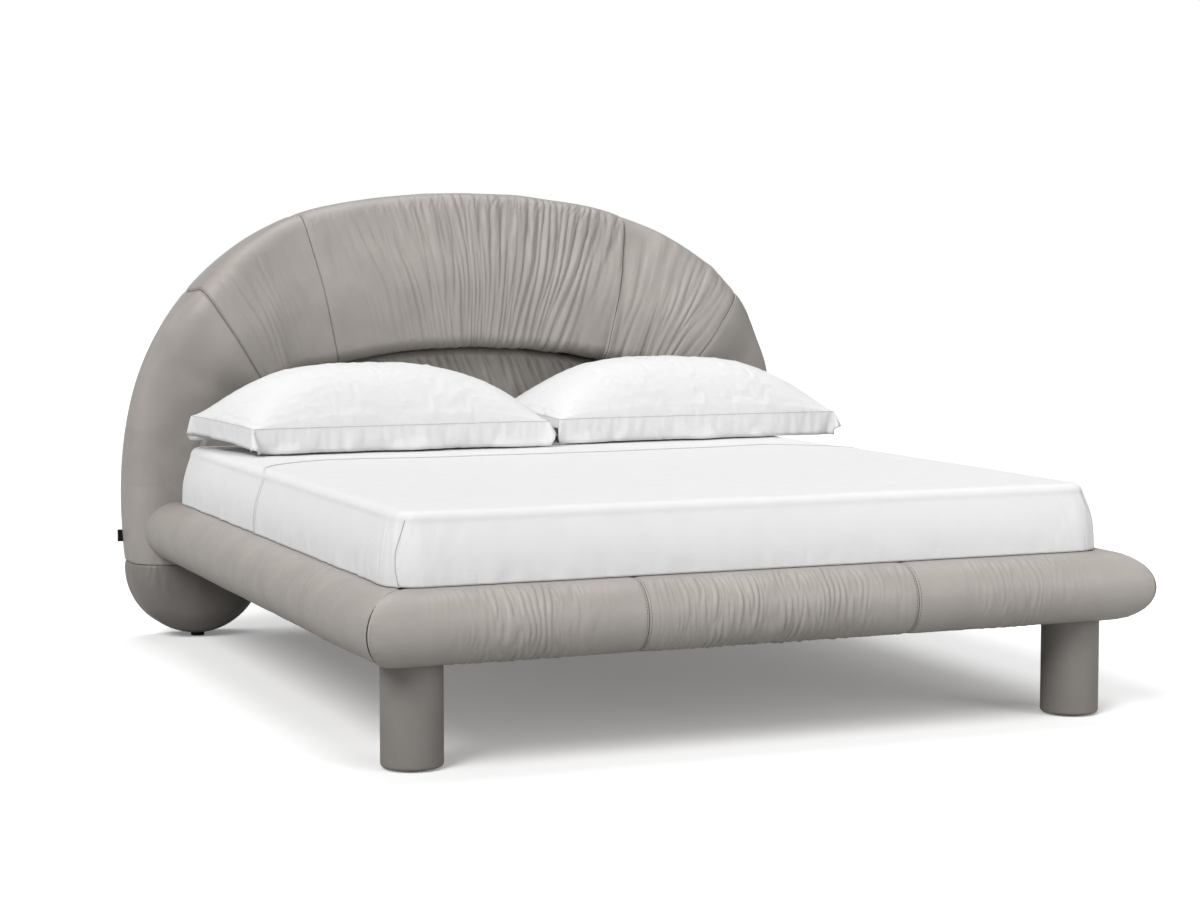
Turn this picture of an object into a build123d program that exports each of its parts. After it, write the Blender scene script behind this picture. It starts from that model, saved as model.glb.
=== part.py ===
from build123d import *
import math
import os

os.makedirs("parts", exist_ok=True)

# Upholstered double bed with an arched roll headboard that ends in two rounded lobes.
# Frame: +X to the right as seen from the foot, +Y towards the head, +Z up.
# Origin: on the floor, midway between the foot rail's outer face and the headboard's back.
# Lengths are millimetres and angles are degrees. Right is the +X side.

# Mattress and its rooms inside the rails
mattress_width = 1800
mattress_length = 2000
mattress_height = 246
mattress_corner_radius = 60
mattress_edge_radius = 28
mattress_floor_height = 330
side_room = 1.5
foot_room = 11
head_room = 20

# Rails, D-shaped in section with the round side outwards
rail_width = 119
rail_height = 172
rail_floor_height = 241
rail_inner_radius = 12
foot_seam_place = 350
beam_thickness = 26
beam_height = 136

# Soft covers and running gaps
leather = 2
gap = 0.3
cutting_overrun = 40

# Headboard outline: arcs in the front view, by their radii and normal angles
headboard_height = 1331
crown_radius = 2145
crown_angle = 10.9
shoulder_radius = 793
shoulder_angle = 77
side_radius = 1217
lobe_radius = 200
lobe_floor_gap = 7
lobe_tuck = 9.5
lobe_seam_height = 226
seat_angle = 80
chest_angle = 66
shoulder_seam_angle = 51
upper_angle = 41
late_angle = 30
crown_seam_angle = 20
crown_angles = (13, 6.5)
arch_width = 474
panel_radius = 2055
panel_corner_radius = 150
panel_floor_height = 262
panel_depth = 140
panel_room = 1.5
panel_edge_radius = 30
panel_shoulder_angle = 70
panel_upper_angle = 45
panel_late_angle = 20
panel_crown_seam_angle = 12.2
panel_crown_angles = (8, 4)

# Headboard depths, measured from its back face
low_depth = 190
shoulder_depth = 288
crown_depth = 228
board_thickness = 18
back_leather = 2
rim_radius = 15
rail_seat_rise = 7
mattress_seat_drop = 16

# Legs and glides
leg_radius = 72
leg_inset_x = 32
leg_inset_y = 34
leg_edge_radius = 8
leg_glide_radius = 50
leg_glide_height = 4
leg_bolt_radius = 5
leg_bolt_length = 90
leg_bolt_head_radius = 8.5
leg_bolt_head_height = 6
head_glide_radius = 20
head_glide_height = 16

# Steel corner plates that tie the rails and carry the legs, and their screws
corner_plate_side = 140
corner_plate_thickness = 5
corner_flange_height = 62
corner_cut = 70
screw_radius = 3
screw_length = 20
screw_head_radius = 6
screw_head_height = 2.5
screw_edge_distance = 28
ledge_screw_count = 6

# Slat base
ledge_leg = 40
ledge_drop = 44
ledge_thickness = 3
holder_height = 18
holder_depth = 76
holder_reach = 34
socket_depth = 24
socket_room = 1
slat_depth = 68
slat_thickness = 9
slat_bow = 6
slat_count = 13
first_slat_place = 80
last_slat_place = 130
centre_beam_width = 60
centre_beam_height = 30
tube_wall = 2.5
cross_rail_depth = 40
slat_end_room = 0.5
centre_holder_half = 44
centre_leg_place = 1500
centre_leg_radius = 20
centre_foot_radius = 28
centre_foot_height = 12
centre_foot_chamfer = 4
hanger_height = 50
hanger_width = 90
hanger_lip = 32
hanger_thickness = 3

# Brackets that hook the rails onto the headboard's board
bracket_thickness = 5
bracket_height = 50
bracket_grip = 62
bracket_flange = 60
bracket_floor_height = 247
head_bolt_radius = 4
head_bolt_length = 14
head_bolt_head_radius = 7
head_bolt_head_height = 5
head_bolt_reaches = (38, 14)
rail_bite = 34

# Bedding
sheet = 2
sheet_flare = 28
sheet_hem_gap = 1
top_sheet_length = 1510
top_sheet_width = 1912
top_sheet_corner_radius = 350
pillow_tip_length = 950
pillow_depth = 340
pillow_crown = 148
pillow_belly = 110
pillow_lift_angle = 8
pillow_waist = 10
pillow_front_height = 87
pillowcase = 2.5
flange_reach = 32
flange_drop = 66
left_pillow_tip_x = -862
pillow_front_place = 1605
right_pillow_setback = 10
pillow_place_shares = (-1, -0.86, -0.55, 0, 0.55, 0.86, 1)
pillow_height_shares = (0.08, 0.56, 0.9, 1, 0.9, 0.56, 0.08)

# Tab sewn into the rim, left bare
tab_height = 36
tab_reach = 15
tab_thickness = 1.6
tab_middle_height = 302
tab_back_distance = 16

# Planes of the whole bed, derived
frame_inner = mattress_width / 2 + side_room
frame_outer = frame_inner + rail_width
low_front = rail_width + foot_room + mattress_length + head_room
overall_length = low_front + low_depth
y_foot = -overall_length / 2
y_foot_inner = y_foot + rail_width
y_mattress_foot = y_foot_inner + foot_room
y_mattress_head = y_mattress_foot + mattress_length
y_low_front = y_foot + low_front
y_back = overall_length / 2
y_board_back = y_back - back_leather
y_board_front = y_board_back - board_thickness
rail_middle = rail_floor_height + rail_height / 2
rail_top = rail_floor_height + rail_height


def write(piece, name):
    piece.part.label = name
    export_step(piece.part, f"parts/{name}.step")


def write_pair(piece, name):
    with BuildPart() as left_piece:
        mirror(piece.part, about=Plane.YZ)
    write(piece, f"{name}_right")
    write(left_piece, f"{name}_left")


# Headboard outline, right half, as points on its arcs in the front view
def on_arc(centre, radius, angle):
    turn = math.radians(angle)
    return (centre[0] + radius * math.sin(turn), centre[1] + radius * math.cos(turn))


crown_centre = (0, headboard_height - crown_radius)
shoulder_centre = on_arc(crown_centre, crown_radius - shoulder_radius, crown_angle)
side_centre = on_arc(shoulder_centre, shoulder_radius - side_radius, shoulder_angle)
half_width, widest_height = on_arc(side_centre, side_radius, 90)
lobe_outer = half_width - lobe_tuck
lobe_centre_x = lobe_outer - lobe_radius
lobe_centre_height = lobe_floor_gap + lobe_radius
panel_half_width = lobe_centre_x - lobe_radius
low_side_rise = widest_height - lobe_seam_height
low_side_radius = (low_side_rise**2 + lobe_tuck**2) / (2 * lobe_tuck)
low_side_angle = 90 + math.degrees(math.asin(low_side_rise / low_side_radius))
low_side_centre = (half_width - low_side_radius, widest_height)


def outline_point(angle, inset=0):
    if angle < crown_angle:
        return on_arc(crown_centre, crown_radius - inset, angle)
    if angle < shoulder_angle:
        return on_arc(shoulder_centre, shoulder_radius - inset, angle)
    if angle <= 90:
        return on_arc(side_centre, side_radius - inset, angle)
    return on_arc(low_side_centre, low_side_radius - inset, angle)


# Outline of the recessed panel inside the arch, right half
panel_top_height = headboard_height - arch_width
panel_corner_x = panel_half_width - panel_corner_radius
panel_centre = (0, panel_top_height - panel_radius)
panel_corner_reach = panel_radius - panel_corner_radius
panel_corner_angle = math.degrees(math.asin(panel_corner_x / panel_corner_reach))
panel_corner_centre = on_arc(panel_centre, panel_corner_reach, panel_corner_angle)


def panel_point(angle, inset=0):
    if angle < panel_corner_angle:
        return on_arc(panel_centre, panel_radius - inset, angle)
    return on_arc(panel_corner_centre, panel_corner_radius - inset, angle)


def arc_between(point_at, start, end, inset):
    ThreePointArc(
        point_at(start, inset),
        point_at((start + end) / 2, inset),
        point_at(end, inset),
    )


# Right half of the flat shapes behind the roll: the board and the back skin
def half_back_outline(inset):
    low_radius = lobe_radius - inset
    seam_point = outline_point(low_side_angle, inset)
    outer_point = (lobe_centre_x + low_radius, lobe_centre_height)
    bottom_point = (lobe_centre_x, lobe_centre_height - low_radius)
    inner_point = (lobe_centre_x - low_radius, lobe_centre_height)
    corner_point = (lobe_centre_x - low_radius, panel_floor_height + inset)
    arc_between(outline_point, 0, crown_angle, inset)
    arc_between(outline_point, crown_angle, shoulder_angle, inset)
    arc_between(outline_point, shoulder_angle, 90, inset)
    arc_between(outline_point, 90, low_side_angle, inset)
    Line(seam_point, outer_point)
    ThreePointArc(outer_point, bottom_point, inner_point)
    Line(inner_point, corner_point)
    Line(corner_point, (0, panel_floor_height + inset))
    Line((0, panel_floor_height + inset), outline_point(0, inset))


def back_slab(inset, y_behind, y_ahead):
    with BuildPart() as slab:
        with BuildSketch(Plane.XZ.offset(-y_behind)):
            with BuildLine():
                half_back_outline(inset)
            make_face()
            mirror(about=Plane.YZ)
        extrude(amount=y_behind - y_ahead)
    return slab.part


# Stations of the roll, from the lobe seam up to the middle of the crown.
# Each gives the outer and inner ends of its section in the front view, its depth, and the
# shares of that depth and width that shape the section's puffed front.
low_shares = (0.955, 0.5, 0.955, 0.46, 1.9, 0.46)
chest_shares = (0.93, 0.52, 0.95, 0.42, 1.4, 0.37)
shoulder_shares = (0.82, 0.6, 0.93, 0.31, 0.85, 0.27)
upper_shares = (0.87, 0.56, 0.9, 0.3, 1, 0.26)
late_shares = (0.92, 0.53, 0.8, 0.25, 1.2, 0.28)
crown_shares = (0.955, 0.5, 0.65, 0.2, 1.5, 0.31)
upper_depth_share = 0.8
late_depth_share = 0.35
chest_depth_share = 0.28


def between(low, high, share):
    return low + (high - low) * share


mattress_seat_height = mattress_floor_height + mattress_height - mattress_seat_drop
chest_depth = between(low_depth, shoulder_depth, chest_depth_share)
upper_depth = between(crown_depth, shoulder_depth, upper_depth_share)
late_depth = between(crown_depth, shoulder_depth, late_depth_share)
lobe_station = (
    (lobe_outer, lobe_seam_height), (panel_half_width, lobe_seam_height), low_depth, low_shares
)
side_stations = [
    lobe_station,
    (outline_point(90), (panel_half_width, rail_top + rail_seat_rise), low_depth, low_shares),
    (outline_point(seat_angle), (panel_half_width, mattress_seat_height), low_depth, low_shares),
    (outline_point(chest_angle), panel_point(90), chest_depth, chest_shares),
    (
        outline_point(shoulder_seam_angle),
        panel_point(panel_shoulder_angle),
        shoulder_depth,
        shoulder_shares,
    ),
]
shoulder_stations = [
    side_stations[-1],
    (outline_point(upper_angle), panel_point(panel_upper_angle), upper_depth, upper_shares),
    (outline_point(late_angle), panel_point(panel_late_angle), late_depth, late_shares),
    (
        outline_point(crown_seam_angle),
        panel_point(panel_crown_seam_angle),
        crown_depth,
        crown_shares,
    ),
]
crown_half_stations = [shoulder_stations[-1]] + [
    (outline_point(angle), panel_point(panel_angle), crown_depth, crown_shares)
    for angle, panel_angle in zip(crown_angles, panel_crown_angles)
]


def mirrored(station):
    outer, inner, depth, shape_shares = station
    return ((-outer[0], outer[1]), (-inner[0], inner[1]), depth, shape_shares)


crown_stations = (
    crown_half_stations
    + [(outline_point(0), panel_point(0), crown_depth, crown_shares)]
    + [mirrored(station) for station in reversed(crown_half_stations)]
)


# Section of the roll: flat back, rounded rim, puffed front and a tight inner side
def section_plane(station):
    outer, inner = station[:2]
    return Plane(
        origin=(inner[0], y_back, inner[1]),
        x_dir=(outer[0] - inner[0], 0, outer[1] - inner[1]),
        z_dir=(outer[1] - inner[1], 0, inner[0] - outer[0]),
    )


def roll_shape(station, inset):
    outer, inner, depth, shape_shares = station
    in_share, place_share, out_share, in_round_share, mid_round_share, out_round_share = shape_shares
    width = math.dist(outer, inner)
    corners = [
        (inset, inset),
        (width - inset, inset),
        (width - inset, depth * out_share - inset),
        (width * place_share, depth - inset),
        (inset, depth * in_share - inset),
    ]
    rounding = [
        rim_radius - inset,
        rim_radius - inset,
        depth * out_round_share - inset,
        depth * mid_round_share - inset,
        depth * in_round_share - inset,
    ]
    return corners, rounding


def roll_stretch(stations, inset):
    with BuildPart() as stretch:
        for station in stations:
            corners, rounding = roll_shape(station, inset)
            with BuildSketch(section_plane(station)):
                with BuildLine():
                    FilletPolyline(*corners, radius=rounding, close=True)
                make_face()
        loft()
    return stretch.part


# Lobe: the outer half of the lowest section turned about the lobe's centre, with a short neck
lobe_floor_station = (
    (lobe_outer, lobe_centre_height), (panel_half_width, lobe_centre_height), low_depth, low_shares
)
lobe_axis = Axis((lobe_centre_x, y_back, lobe_centre_height), (0, 1, 0))


def lobe_solid(inset):
    corners, rounding = roll_shape(lobe_floor_station, inset)
    with BuildPart() as ball:
        with BuildSketch(section_plane(lobe_floor_station)):
            with BuildLine():
                FilletPolyline(*corners, radius=rounding, close=True)
            make_face()
            with Locations((lobe_radius, 0)):
                Rectangle(
                    lobe_radius * 2,
                    low_depth * 2,
                    align=(Align.MIN, Align.CENTER),
                    mode=Mode.INTERSECT,
                )
        revolve(axis=lobe_axis)
        split(bisect_by=Plane.XY.offset(lobe_centre_height), keep=Keep.BOTTOM)
    with BuildPart() as lobe:
        with BuildSketch(section_plane(lobe_floor_station)):
            with BuildLine():
                FilletPolyline(*corners, radius=rounding, close=True)
            make_face()
        extrude(amount=lobe_centre_height - lobe_seam_height)
        add(ball.part)
    return lobe.part


# Rooms that the covers and foams leave for the board, the back skin and the brackets
board_inset = rim_radius + gap
board_room = back_slab(rim_radius, y_board_back + gap, y_board_front - gap)
back_skin_room = back_slab(rim_radius, y_back + cutting_overrun, y_board_back)
bracket_low_x = frame_inner - bracket_thickness
with BuildPart() as bracket_room:
    with BuildSketch(Plane.XY.offset(bracket_floor_height - gap)):
        with Locations((bracket_low_x - gap, y_low_front - cutting_overrun)):
            Rectangle(
                bracket_thickness + 2 * gap,
                low_depth + cutting_overrun,
                align=(Align.MIN, Align.MIN),
            )
        with Locations((frame_inner + gap, y_board_front + gap)):
            Rectangle(
                bracket_flange + 2 * gap,
                bracket_thickness + head_bolt_head_height + 2 * gap,
                align=(Align.MAX, Align.MAX),
            )
    extrude(amount=bracket_height + 2 * gap)


def cover_of(outer_part, inner_part):
    with BuildPart() as cover:
        add(outer_part)
        add(inner_part, mode=Mode.SUBTRACT)
        add(board_room, mode=Mode.SUBTRACT)
        add(back_skin_room, mode=Mode.SUBTRACT)
    return cover.part


# Leather covers of the arch, seam to seam
side_outer = roll_stretch(side_stations, 0)
lobe_outer_solid = lobe_solid(0)

with BuildPart() as side_cover:
    add(cover_of(side_outer, roll_stretch(side_stations, leather)))
    add(bracket_room.part, mode=Mode.SUBTRACT)
write_pair(side_cover, "side_cover")

with BuildPart() as shoulder_cover:
    add(cover_of(roll_stretch(shoulder_stations, 0), roll_stretch(shoulder_stations, leather)))
write_pair(shoulder_cover, "shoulder_cover")

with BuildPart() as crown_cover:
    add(cover_of(roll_stretch(crown_stations, 0), roll_stretch(crown_stations, leather)))
write(crown_cover, "crown_cover")

with BuildPart() as lobe_cover:
    add(cover_of(lobe_outer_solid, lobe_solid(leather)))
write_pair(lobe_cover, "lobe_cover")

# Foams of the arch, seated on the board's front
foam_inset = leather + gap
with BuildPart() as board_side:
    with BuildSketch(Plane.XZ.offset(-y_board_front)):
        Rectangle(2 * (half_width + cutting_overrun), 2 * (headboard_height + cutting_overrun))
    extrude(amount=-(back_leather + board_thickness + cutting_overrun))

with BuildPart() as side_foam:
    add(roll_stretch(side_stations, foam_inset))
    add(lobe_solid(foam_inset))
    add(board_side.part, mode=Mode.SUBTRACT)
    add(bracket_room.part, mode=Mode.SUBTRACT)
write_pair(side_foam, "side_foam")

with BuildPart() as shoulder_foam:
    add(roll_stretch(shoulder_stations, foam_inset))
    add(board_side.part, mode=Mode.SUBTRACT)
write_pair(shoulder_foam, "shoulder_foam")

with BuildPart() as crown_foam:
    add(roll_stretch(crown_stations, foam_inset))
    add(board_side.part, mode=Mode.SUBTRACT)
write(crown_foam, "crown_foam")

# Board and back skin behind the arch
with BuildPart() as back_cover:
    add(back_slab(board_inset, y_back, y_board_back))
write(back_cover, "back_cover")


# Recessed half-moon panel inside the arch
def panel_block(inset, y_behind, y_ahead):
    low_corner = (panel_half_width - inset, panel_floor_height + inset)
    with BuildPart() as block:
        with BuildSketch(Plane.XZ.offset(-y_behind)):
            with BuildLine():
                arc_between(panel_point, 0, panel_corner_angle, inset)
                arc_between(panel_point, panel_corner_angle, 90, inset)
                Line(panel_point(90, inset), low_corner)
                Line(low_corner, (0, panel_floor_height + inset))
                Line((0, panel_floor_height + inset), panel_point(0, inset))
            make_face()
            mirror(about=Plane.YZ)
        extrude(amount=y_behind - y_ahead)
        front_edges = block.faces().sort_by(Axis.Y)[0].edges()
        fillet(front_edges, radius=panel_edge_radius - inset)
    return block.part


y_panel_front = y_back - panel_depth
with BuildPart() as panel_cover:
    add(panel_block(panel_room, y_board_front, y_panel_front))
    add(
        panel_block(panel_room + leather, y_board_front + cutting_overrun, y_panel_front + leather),
        mode=Mode.SUBTRACT,
    )
write(panel_cover, "panel_cover")

with BuildPart() as panel_foam:
    add(panel_block(panel_room + foam_inset, y_board_front, y_panel_front + foam_inset))
write(panel_foam, "panel_foam")

# Glides under the lobes, hollowed on top to seat the round leather
y_lobe_middle = y_back - low_depth / 2
with BuildPart() as head_glide:
    with BuildSketch():
        with Locations((lobe_centre_x, y_lobe_middle)):
            Circle(head_glide_radius)
    extrude(amount=head_glide_height)
    add(lobe_outer_solid, mode=Mode.SUBTRACT)
write_pair(head_glide, "head_glide")

# Tab sewn into the rim of the left lower side, left bare
tab_rim_drop = widest_height - tab_middle_height
tab_rim_x = low_side_centre[0] + math.sqrt(low_side_radius**2 - tab_rim_drop**2)
tab_tip_x = tab_rim_x + tab_reach
with BuildPart() as label_tab:
    with BuildSketch(Plane.XY.offset(tab_middle_height - tab_height / 2)):
        with Locations((-tab_tip_x, y_back - tab_back_distance)):
            Rectangle(tab_reach * 2, tab_thickness, align=(Align.MIN, Align.CENTER))
    extrude(amount=tab_height)
    mirror(side_outer, about=Plane.YZ, mode=Mode.SUBTRACT)
write(label_tab, "label_tab")

# Heights of the slat base, derived from the mattress down
slat_top_height = mattress_floor_height - gap
slat_end_top_height = slat_top_height - slat_bow
holder_top_height = slat_top_height - socket_room
holder_floor_height = holder_top_height - holder_height
socket_floor_height = slat_end_top_height - slat_thickness - socket_room / 2
socket_height = slat_thickness + 2 * socket_room
ledge_face_x = frame_inner - ledge_thickness
slat_outer_x = ledge_face_x - holder_reach + socket_depth - slat_end_room
slat_inner_x = centre_holder_half - socket_depth + slat_end_room
y_first_slat = y_foot_inner + first_slat_place
y_last_slat = y_mattress_head - last_slat_place
slat_pitch = (y_last_slat - y_first_slat) / (slat_count - 1)
slat_places = [y_first_slat + slat_pitch * row for row in range(slat_count)]
y_cross_rail = y_last_slat + holder_depth / 2 + gap
y_ledge_foot = y_foot_inner + corner_plate_side + gap
y_ledge_head = y_cross_rail + cross_rail_depth
y_bracket_foot = y_low_front - bracket_grip
centre_beam_floor_height = holder_floor_height - centre_beam_height


# Screws: a low head and a plain shank, from points on the faces they hold down
def screw_planes():
    planes = []
    plate_face = frame_inner - corner_plate_thickness
    screw_height = rail_floor_height + corner_flange_height - screw_edge_distance / 2
    for reach in (screw_edge_distance, corner_plate_side - screw_edge_distance):
        planes.append(((plate_face, y_foot_inner + reach, screw_height), (-1, 0, 0)))
        planes.append(((frame_inner - reach, y_foot_inner + corner_plate_thickness, screw_height), (0, 1, 0)))
    ledge_screw_height = holder_floor_height - ledge_drop + screw_edge_distance / 2
    ledge_run = y_cross_rail - y_ledge_foot - 2 * screw_edge_distance
    for index in range(ledge_screw_count):
        place = y_ledge_foot + screw_edge_distance + ledge_run * index / (ledge_screw_count - 1)
        planes.append(((ledge_face_x, place, ledge_screw_height), (-1, 0, 0)))
    for reach in (screw_edge_distance / 2, bracket_grip - screw_edge_distance / 2):
        grip_point = (frame_inner - bracket_thickness, y_bracket_foot + reach,
                      bracket_floor_height + bracket_height / 2)
        planes.append((grip_point, (-1, 0, 0)))
    return [Plane(origin=place, z_dir=direction) for place, direction in planes]


with BuildPart() as right_screws:
    for screw_plane in screw_planes():
        with BuildSketch(screw_plane):
            Circle(screw_head_radius)
        extrude(amount=screw_head_height)
        with BuildSketch(screw_plane):
            Circle(screw_radius)
        extrude(amount=-screw_length)
with BuildPart() as frame_screws:
    add(right_screws.part)
    mirror(right_screws.part, about=Plane.YZ)
write(frame_screws, "frame_screws")

# Rails: a board beam on the inner side, foam round it, and leather over all
rail_round_place = rail_width - rail_height / 2
side_rail_plane = Plane(
    origin=(frame_inner, y_low_front + rail_bite, rail_middle), x_dir=(1, 0, 0), z_dir=(0, -1, 0)
)
foot_rail_plane = Plane(
    origin=(-frame_outer, y_foot_inner, rail_middle), x_dir=(0, -1, 0), z_dir=(1, 0, 0)
)
right_mitre = Plane(origin=(frame_inner, y_foot_inner, 0), z_dir=(1, 1, 0))
left_mitre = Plane(origin=(-frame_inner, y_foot_inner, 0), z_dir=(-1, 1, 0))
side_rail_length = y_low_front + rail_bite - y_foot
roll_room = roll_stretch(side_stations, -gap)


def rail_bar(bar_plane, length, inset):
    half = rail_height / 2 - inset
    slant = half * math.sqrt(0.5)
    with BuildPart() as bar:
        with BuildSketch(bar_plane) as section:
            with BuildLine():
                Line((inset, half), (inset, -half))
                Line((inset, -half), (rail_round_place, -half))
                ThreePointArc(
                    (rail_round_place, -half),
                    (rail_round_place + slant, -slant),
                    (rail_round_place + half, 0),
                )
                ThreePointArc(
                    (rail_round_place + half, 0),
                    (rail_round_place + slant, slant),
                    (rail_round_place, half),
                )
                Line((rail_round_place, half), (inset, half))
            make_face()
            fillet(section.vertices().group_by(Axis.X)[0], radius=rail_inner_radius - inset)
        extrude(amount=length)
    return bar.part


with BuildPart() as side_beam:
    with BuildSketch(Plane.XY.offset(rail_middle - beam_height / 2)):
        with Locations((frame_inner + leather, y_low_front - gap)):
            Rectangle(beam_thickness, side_rail_length, align=(Align.MIN, Align.MAX))
    extrude(amount=beam_height)
    split(bisect_by=right_mitre, keep=Keep.TOP)
    add(roll_room, mode=Mode.SUBTRACT)
    add(right_screws.part, mode=Mode.SUBTRACT)
write_pair(side_beam, "side_beam")

with BuildPart() as foot_beam:
    with BuildSketch(Plane.XY.offset(rail_middle - beam_height / 2)):
        with Locations((0, y_foot_inner - leather)):
            Rectangle(2 * frame_outer, beam_thickness, align=(Align.CENTER, Align.MAX))
    extrude(amount=beam_height)
    split(bisect_by=right_mitre, keep=Keep.BOTTOM)
    split(bisect_by=left_mitre, keep=Keep.BOTTOM)
    add(frame_screws.part, mode=Mode.SUBTRACT)
write(foot_beam, "foot_beam")

with BuildPart() as side_rail_foam:
    add(rail_bar(side_rail_plane, side_rail_length, foam_inset))
    split(bisect_by=right_mitre, keep=Keep.TOP)
    add(side_beam.part, mode=Mode.SUBTRACT)
    add(roll_room, mode=Mode.SUBTRACT)
    add(right_screws.part, mode=Mode.SUBTRACT)
write_pair(side_rail_foam, "side_rail_foam")

with BuildPart() as foot_rail_foam:
    add(rail_bar(foot_rail_plane, 2 * frame_outer, foam_inset))
    split(bisect_by=right_mitre, keep=Keep.BOTTOM)
    split(bisect_by=left_mitre, keep=Keep.BOTTOM)
    add(foot_beam.part, mode=Mode.SUBTRACT)
    add(frame_screws.part, mode=Mode.SUBTRACT)
write(foot_rail_foam, "foot_rail_foam")

with BuildPart() as side_rail_cover:
    add(rail_bar(side_rail_plane, side_rail_length, 0))
    add(rail_bar(side_rail_plane, side_rail_length, leather), mode=Mode.SUBTRACT)
    split(bisect_by=right_mitre, keep=Keep.TOP)
    add(roll_room, mode=Mode.SUBTRACT)
    add(right_screws.part, mode=Mode.SUBTRACT)
write_pair(side_rail_cover, "side_rail_cover")

with BuildPart() as foot_rail_cover:
    add(rail_bar(foot_rail_plane, 2 * frame_outer, 0))
    add(rail_bar(foot_rail_plane, 2 * frame_outer, leather), mode=Mode.SUBTRACT)
    split(bisect_by=right_mitre, keep=Keep.BOTTOM)
    split(bisect_by=left_mitre, keep=Keep.BOTTOM)
    add(frame_screws.part, mode=Mode.SUBTRACT)
foot_seam = Plane.YZ.offset(foot_seam_place)
with BuildPart() as foot_cover_end:
    add(foot_rail_cover.part)
    split(bisect_by=foot_seam, keep=Keep.TOP)
write_pair(foot_cover_end, "foot_rail_cover")
with BuildPart() as foot_cover_centre:
    add(foot_rail_cover.part)
    split(bisect_by=foot_seam, keep=Keep.BOTTOM)
    split(bisect_by=Plane.YZ.offset(-foot_seam_place), keep=Keep.TOP)
write(foot_cover_centre, "foot_rail_cover_centre")

# Corner plate: folded steel with two upstanding flanges
leg_x = frame_inner - leg_inset_x
leg_y = y_foot_inner + leg_inset_y
with BuildPart() as corner_plate:
    with BuildSketch(Plane.XY.offset(rail_floor_height)) as plate_plan:
        with Locations((frame_inner, y_foot_inner)):
            Rectangle(corner_plate_side, corner_plate_side, align=(Align.MAX, Align.MIN))
        free_corner = plate_plan.vertices().sort_by(Axis((0, 0, 0), (-1, 1, 0)))[-1]
        chamfer(free_corner, length=corner_cut)
        with Locations((leg_x, leg_y)):
            Circle(leg_bolt_radius + gap, mode=Mode.SUBTRACT)
    extrude(amount=corner_plate_thickness)
    with BuildSketch(Plane.XY.offset(rail_floor_height)):
        with Locations((frame_inner, y_foot_inner)):
            Rectangle(corner_plate_thickness, corner_plate_side, align=(Align.MAX, Align.MIN))
            Rectangle(corner_plate_side, corner_plate_thickness, align=(Align.MAX, Align.MIN))
    extrude(amount=corner_flange_height)
    add(right_screws.part, mode=Mode.SUBTRACT)
write_pair(corner_plate, "corner_plate")

# Front legs, their bolts and glides
with BuildPart() as front_leg:
    with BuildSketch(Plane.XY.offset(leg_glide_height)):
        with Locations((leg_x, leg_y)):
            Circle(leg_radius)
    extrude(amount=rail_floor_height - leg_glide_height)
    foot_edge = front_leg.edges().filter_by(GeomType.CIRCLE).sort_by(Axis.Z)[0]
    fillet(foot_edge, radius=leg_edge_radius)
    bolt_reach = leg_bolt_length - corner_plate_thickness
    with Locations((leg_x, leg_y, rail_floor_height)):
        Hole(radius=leg_bolt_radius, depth=bolt_reach)
write_pair(front_leg, "front_leg")

with BuildPart() as leg_glide:
    with BuildSketch():
        with Locations((leg_x, leg_y)):
            Circle(leg_glide_radius)
    extrude(amount=leg_glide_height)
write_pair(leg_glide, "leg_glide")

bolt_seat_height = rail_floor_height + corner_plate_thickness
with BuildPart() as leg_bolts:
    with BuildSketch(Plane.XY.offset(bolt_seat_height)):
        with Locations((leg_x, leg_y), (-leg_x, leg_y)):
            RegularPolygon(leg_bolt_head_radius, 6)
    extrude(amount=leg_bolt_head_height)
    with BuildSketch(Plane.XY.offset(bolt_seat_height)):
        with Locations((leg_x, leg_y), (-leg_x, leg_y)):
            Circle(leg_bolt_radius)
    extrude(amount=-leg_bolt_length)
write(leg_bolts, "leg_bolts")

# Steel ledges along the side rails
with BuildPart() as side_ledge:
    with BuildSketch(Plane.XZ.offset(-y_ledge_foot)):
        with Locations((frame_inner, holder_floor_height)):
            Rectangle(ledge_thickness, ledge_drop, align=(Align.MAX, Align.MAX))
            Rectangle(ledge_leg, ledge_thickness, align=(Align.MAX, Align.MAX))
    extrude(amount=y_ledge_foot - y_ledge_head)
    add(right_screws.part, mode=Mode.SUBTRACT)
write_pair(side_ledge, "side_ledge")

# Brackets from the side beams to the headboard's board, and their bolts
y_bracket_flange = y_board_front - bracket_thickness
head_bolt_height = bracket_floor_height + bracket_height / 2
with BuildPart() as right_head_bolts:
    for reach in head_bolt_reaches:
        bolt_plane = Plane(
            origin=(frame_inner - reach, y_bracket_flange, head_bolt_height), z_dir=(0, -1, 0)
        )
        with BuildSketch(bolt_plane):
            RegularPolygon(head_bolt_head_radius, 6)
        extrude(amount=head_bolt_head_height)
        with BuildSketch(bolt_plane):
            Circle(head_bolt_radius)
        extrude(amount=-(bracket_thickness + head_bolt_length))
with BuildPart() as head_bolts:
    add(right_head_bolts.part)
    mirror(right_head_bolts.part, about=Plane.YZ)
write(head_bolts, "head_bolts")

with BuildPart() as head_bracket:
    with BuildSketch(Plane.XY.offset(bracket_floor_height)):
        with Locations((frame_inner, y_board_front)):
            Rectangle(
                bracket_thickness, y_board_front - y_bracket_foot, align=(Align.MAX, Align.MAX)
            )
            Rectangle(bracket_flange, bracket_thickness, align=(Align.MAX, Align.MAX))
    extrude(amount=bracket_height)
    add(right_screws.part, mode=Mode.SUBTRACT)
    add(right_head_bolts.part, mode=Mode.SUBTRACT)
write_pair(head_bracket, "head_bracket")

with BuildPart() as headboard_board:
    add(back_slab(board_inset, y_board_back, y_board_front))
    add(head_bolts.part, mode=Mode.SUBTRACT)
write(headboard_board, "headboard_board")

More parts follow.
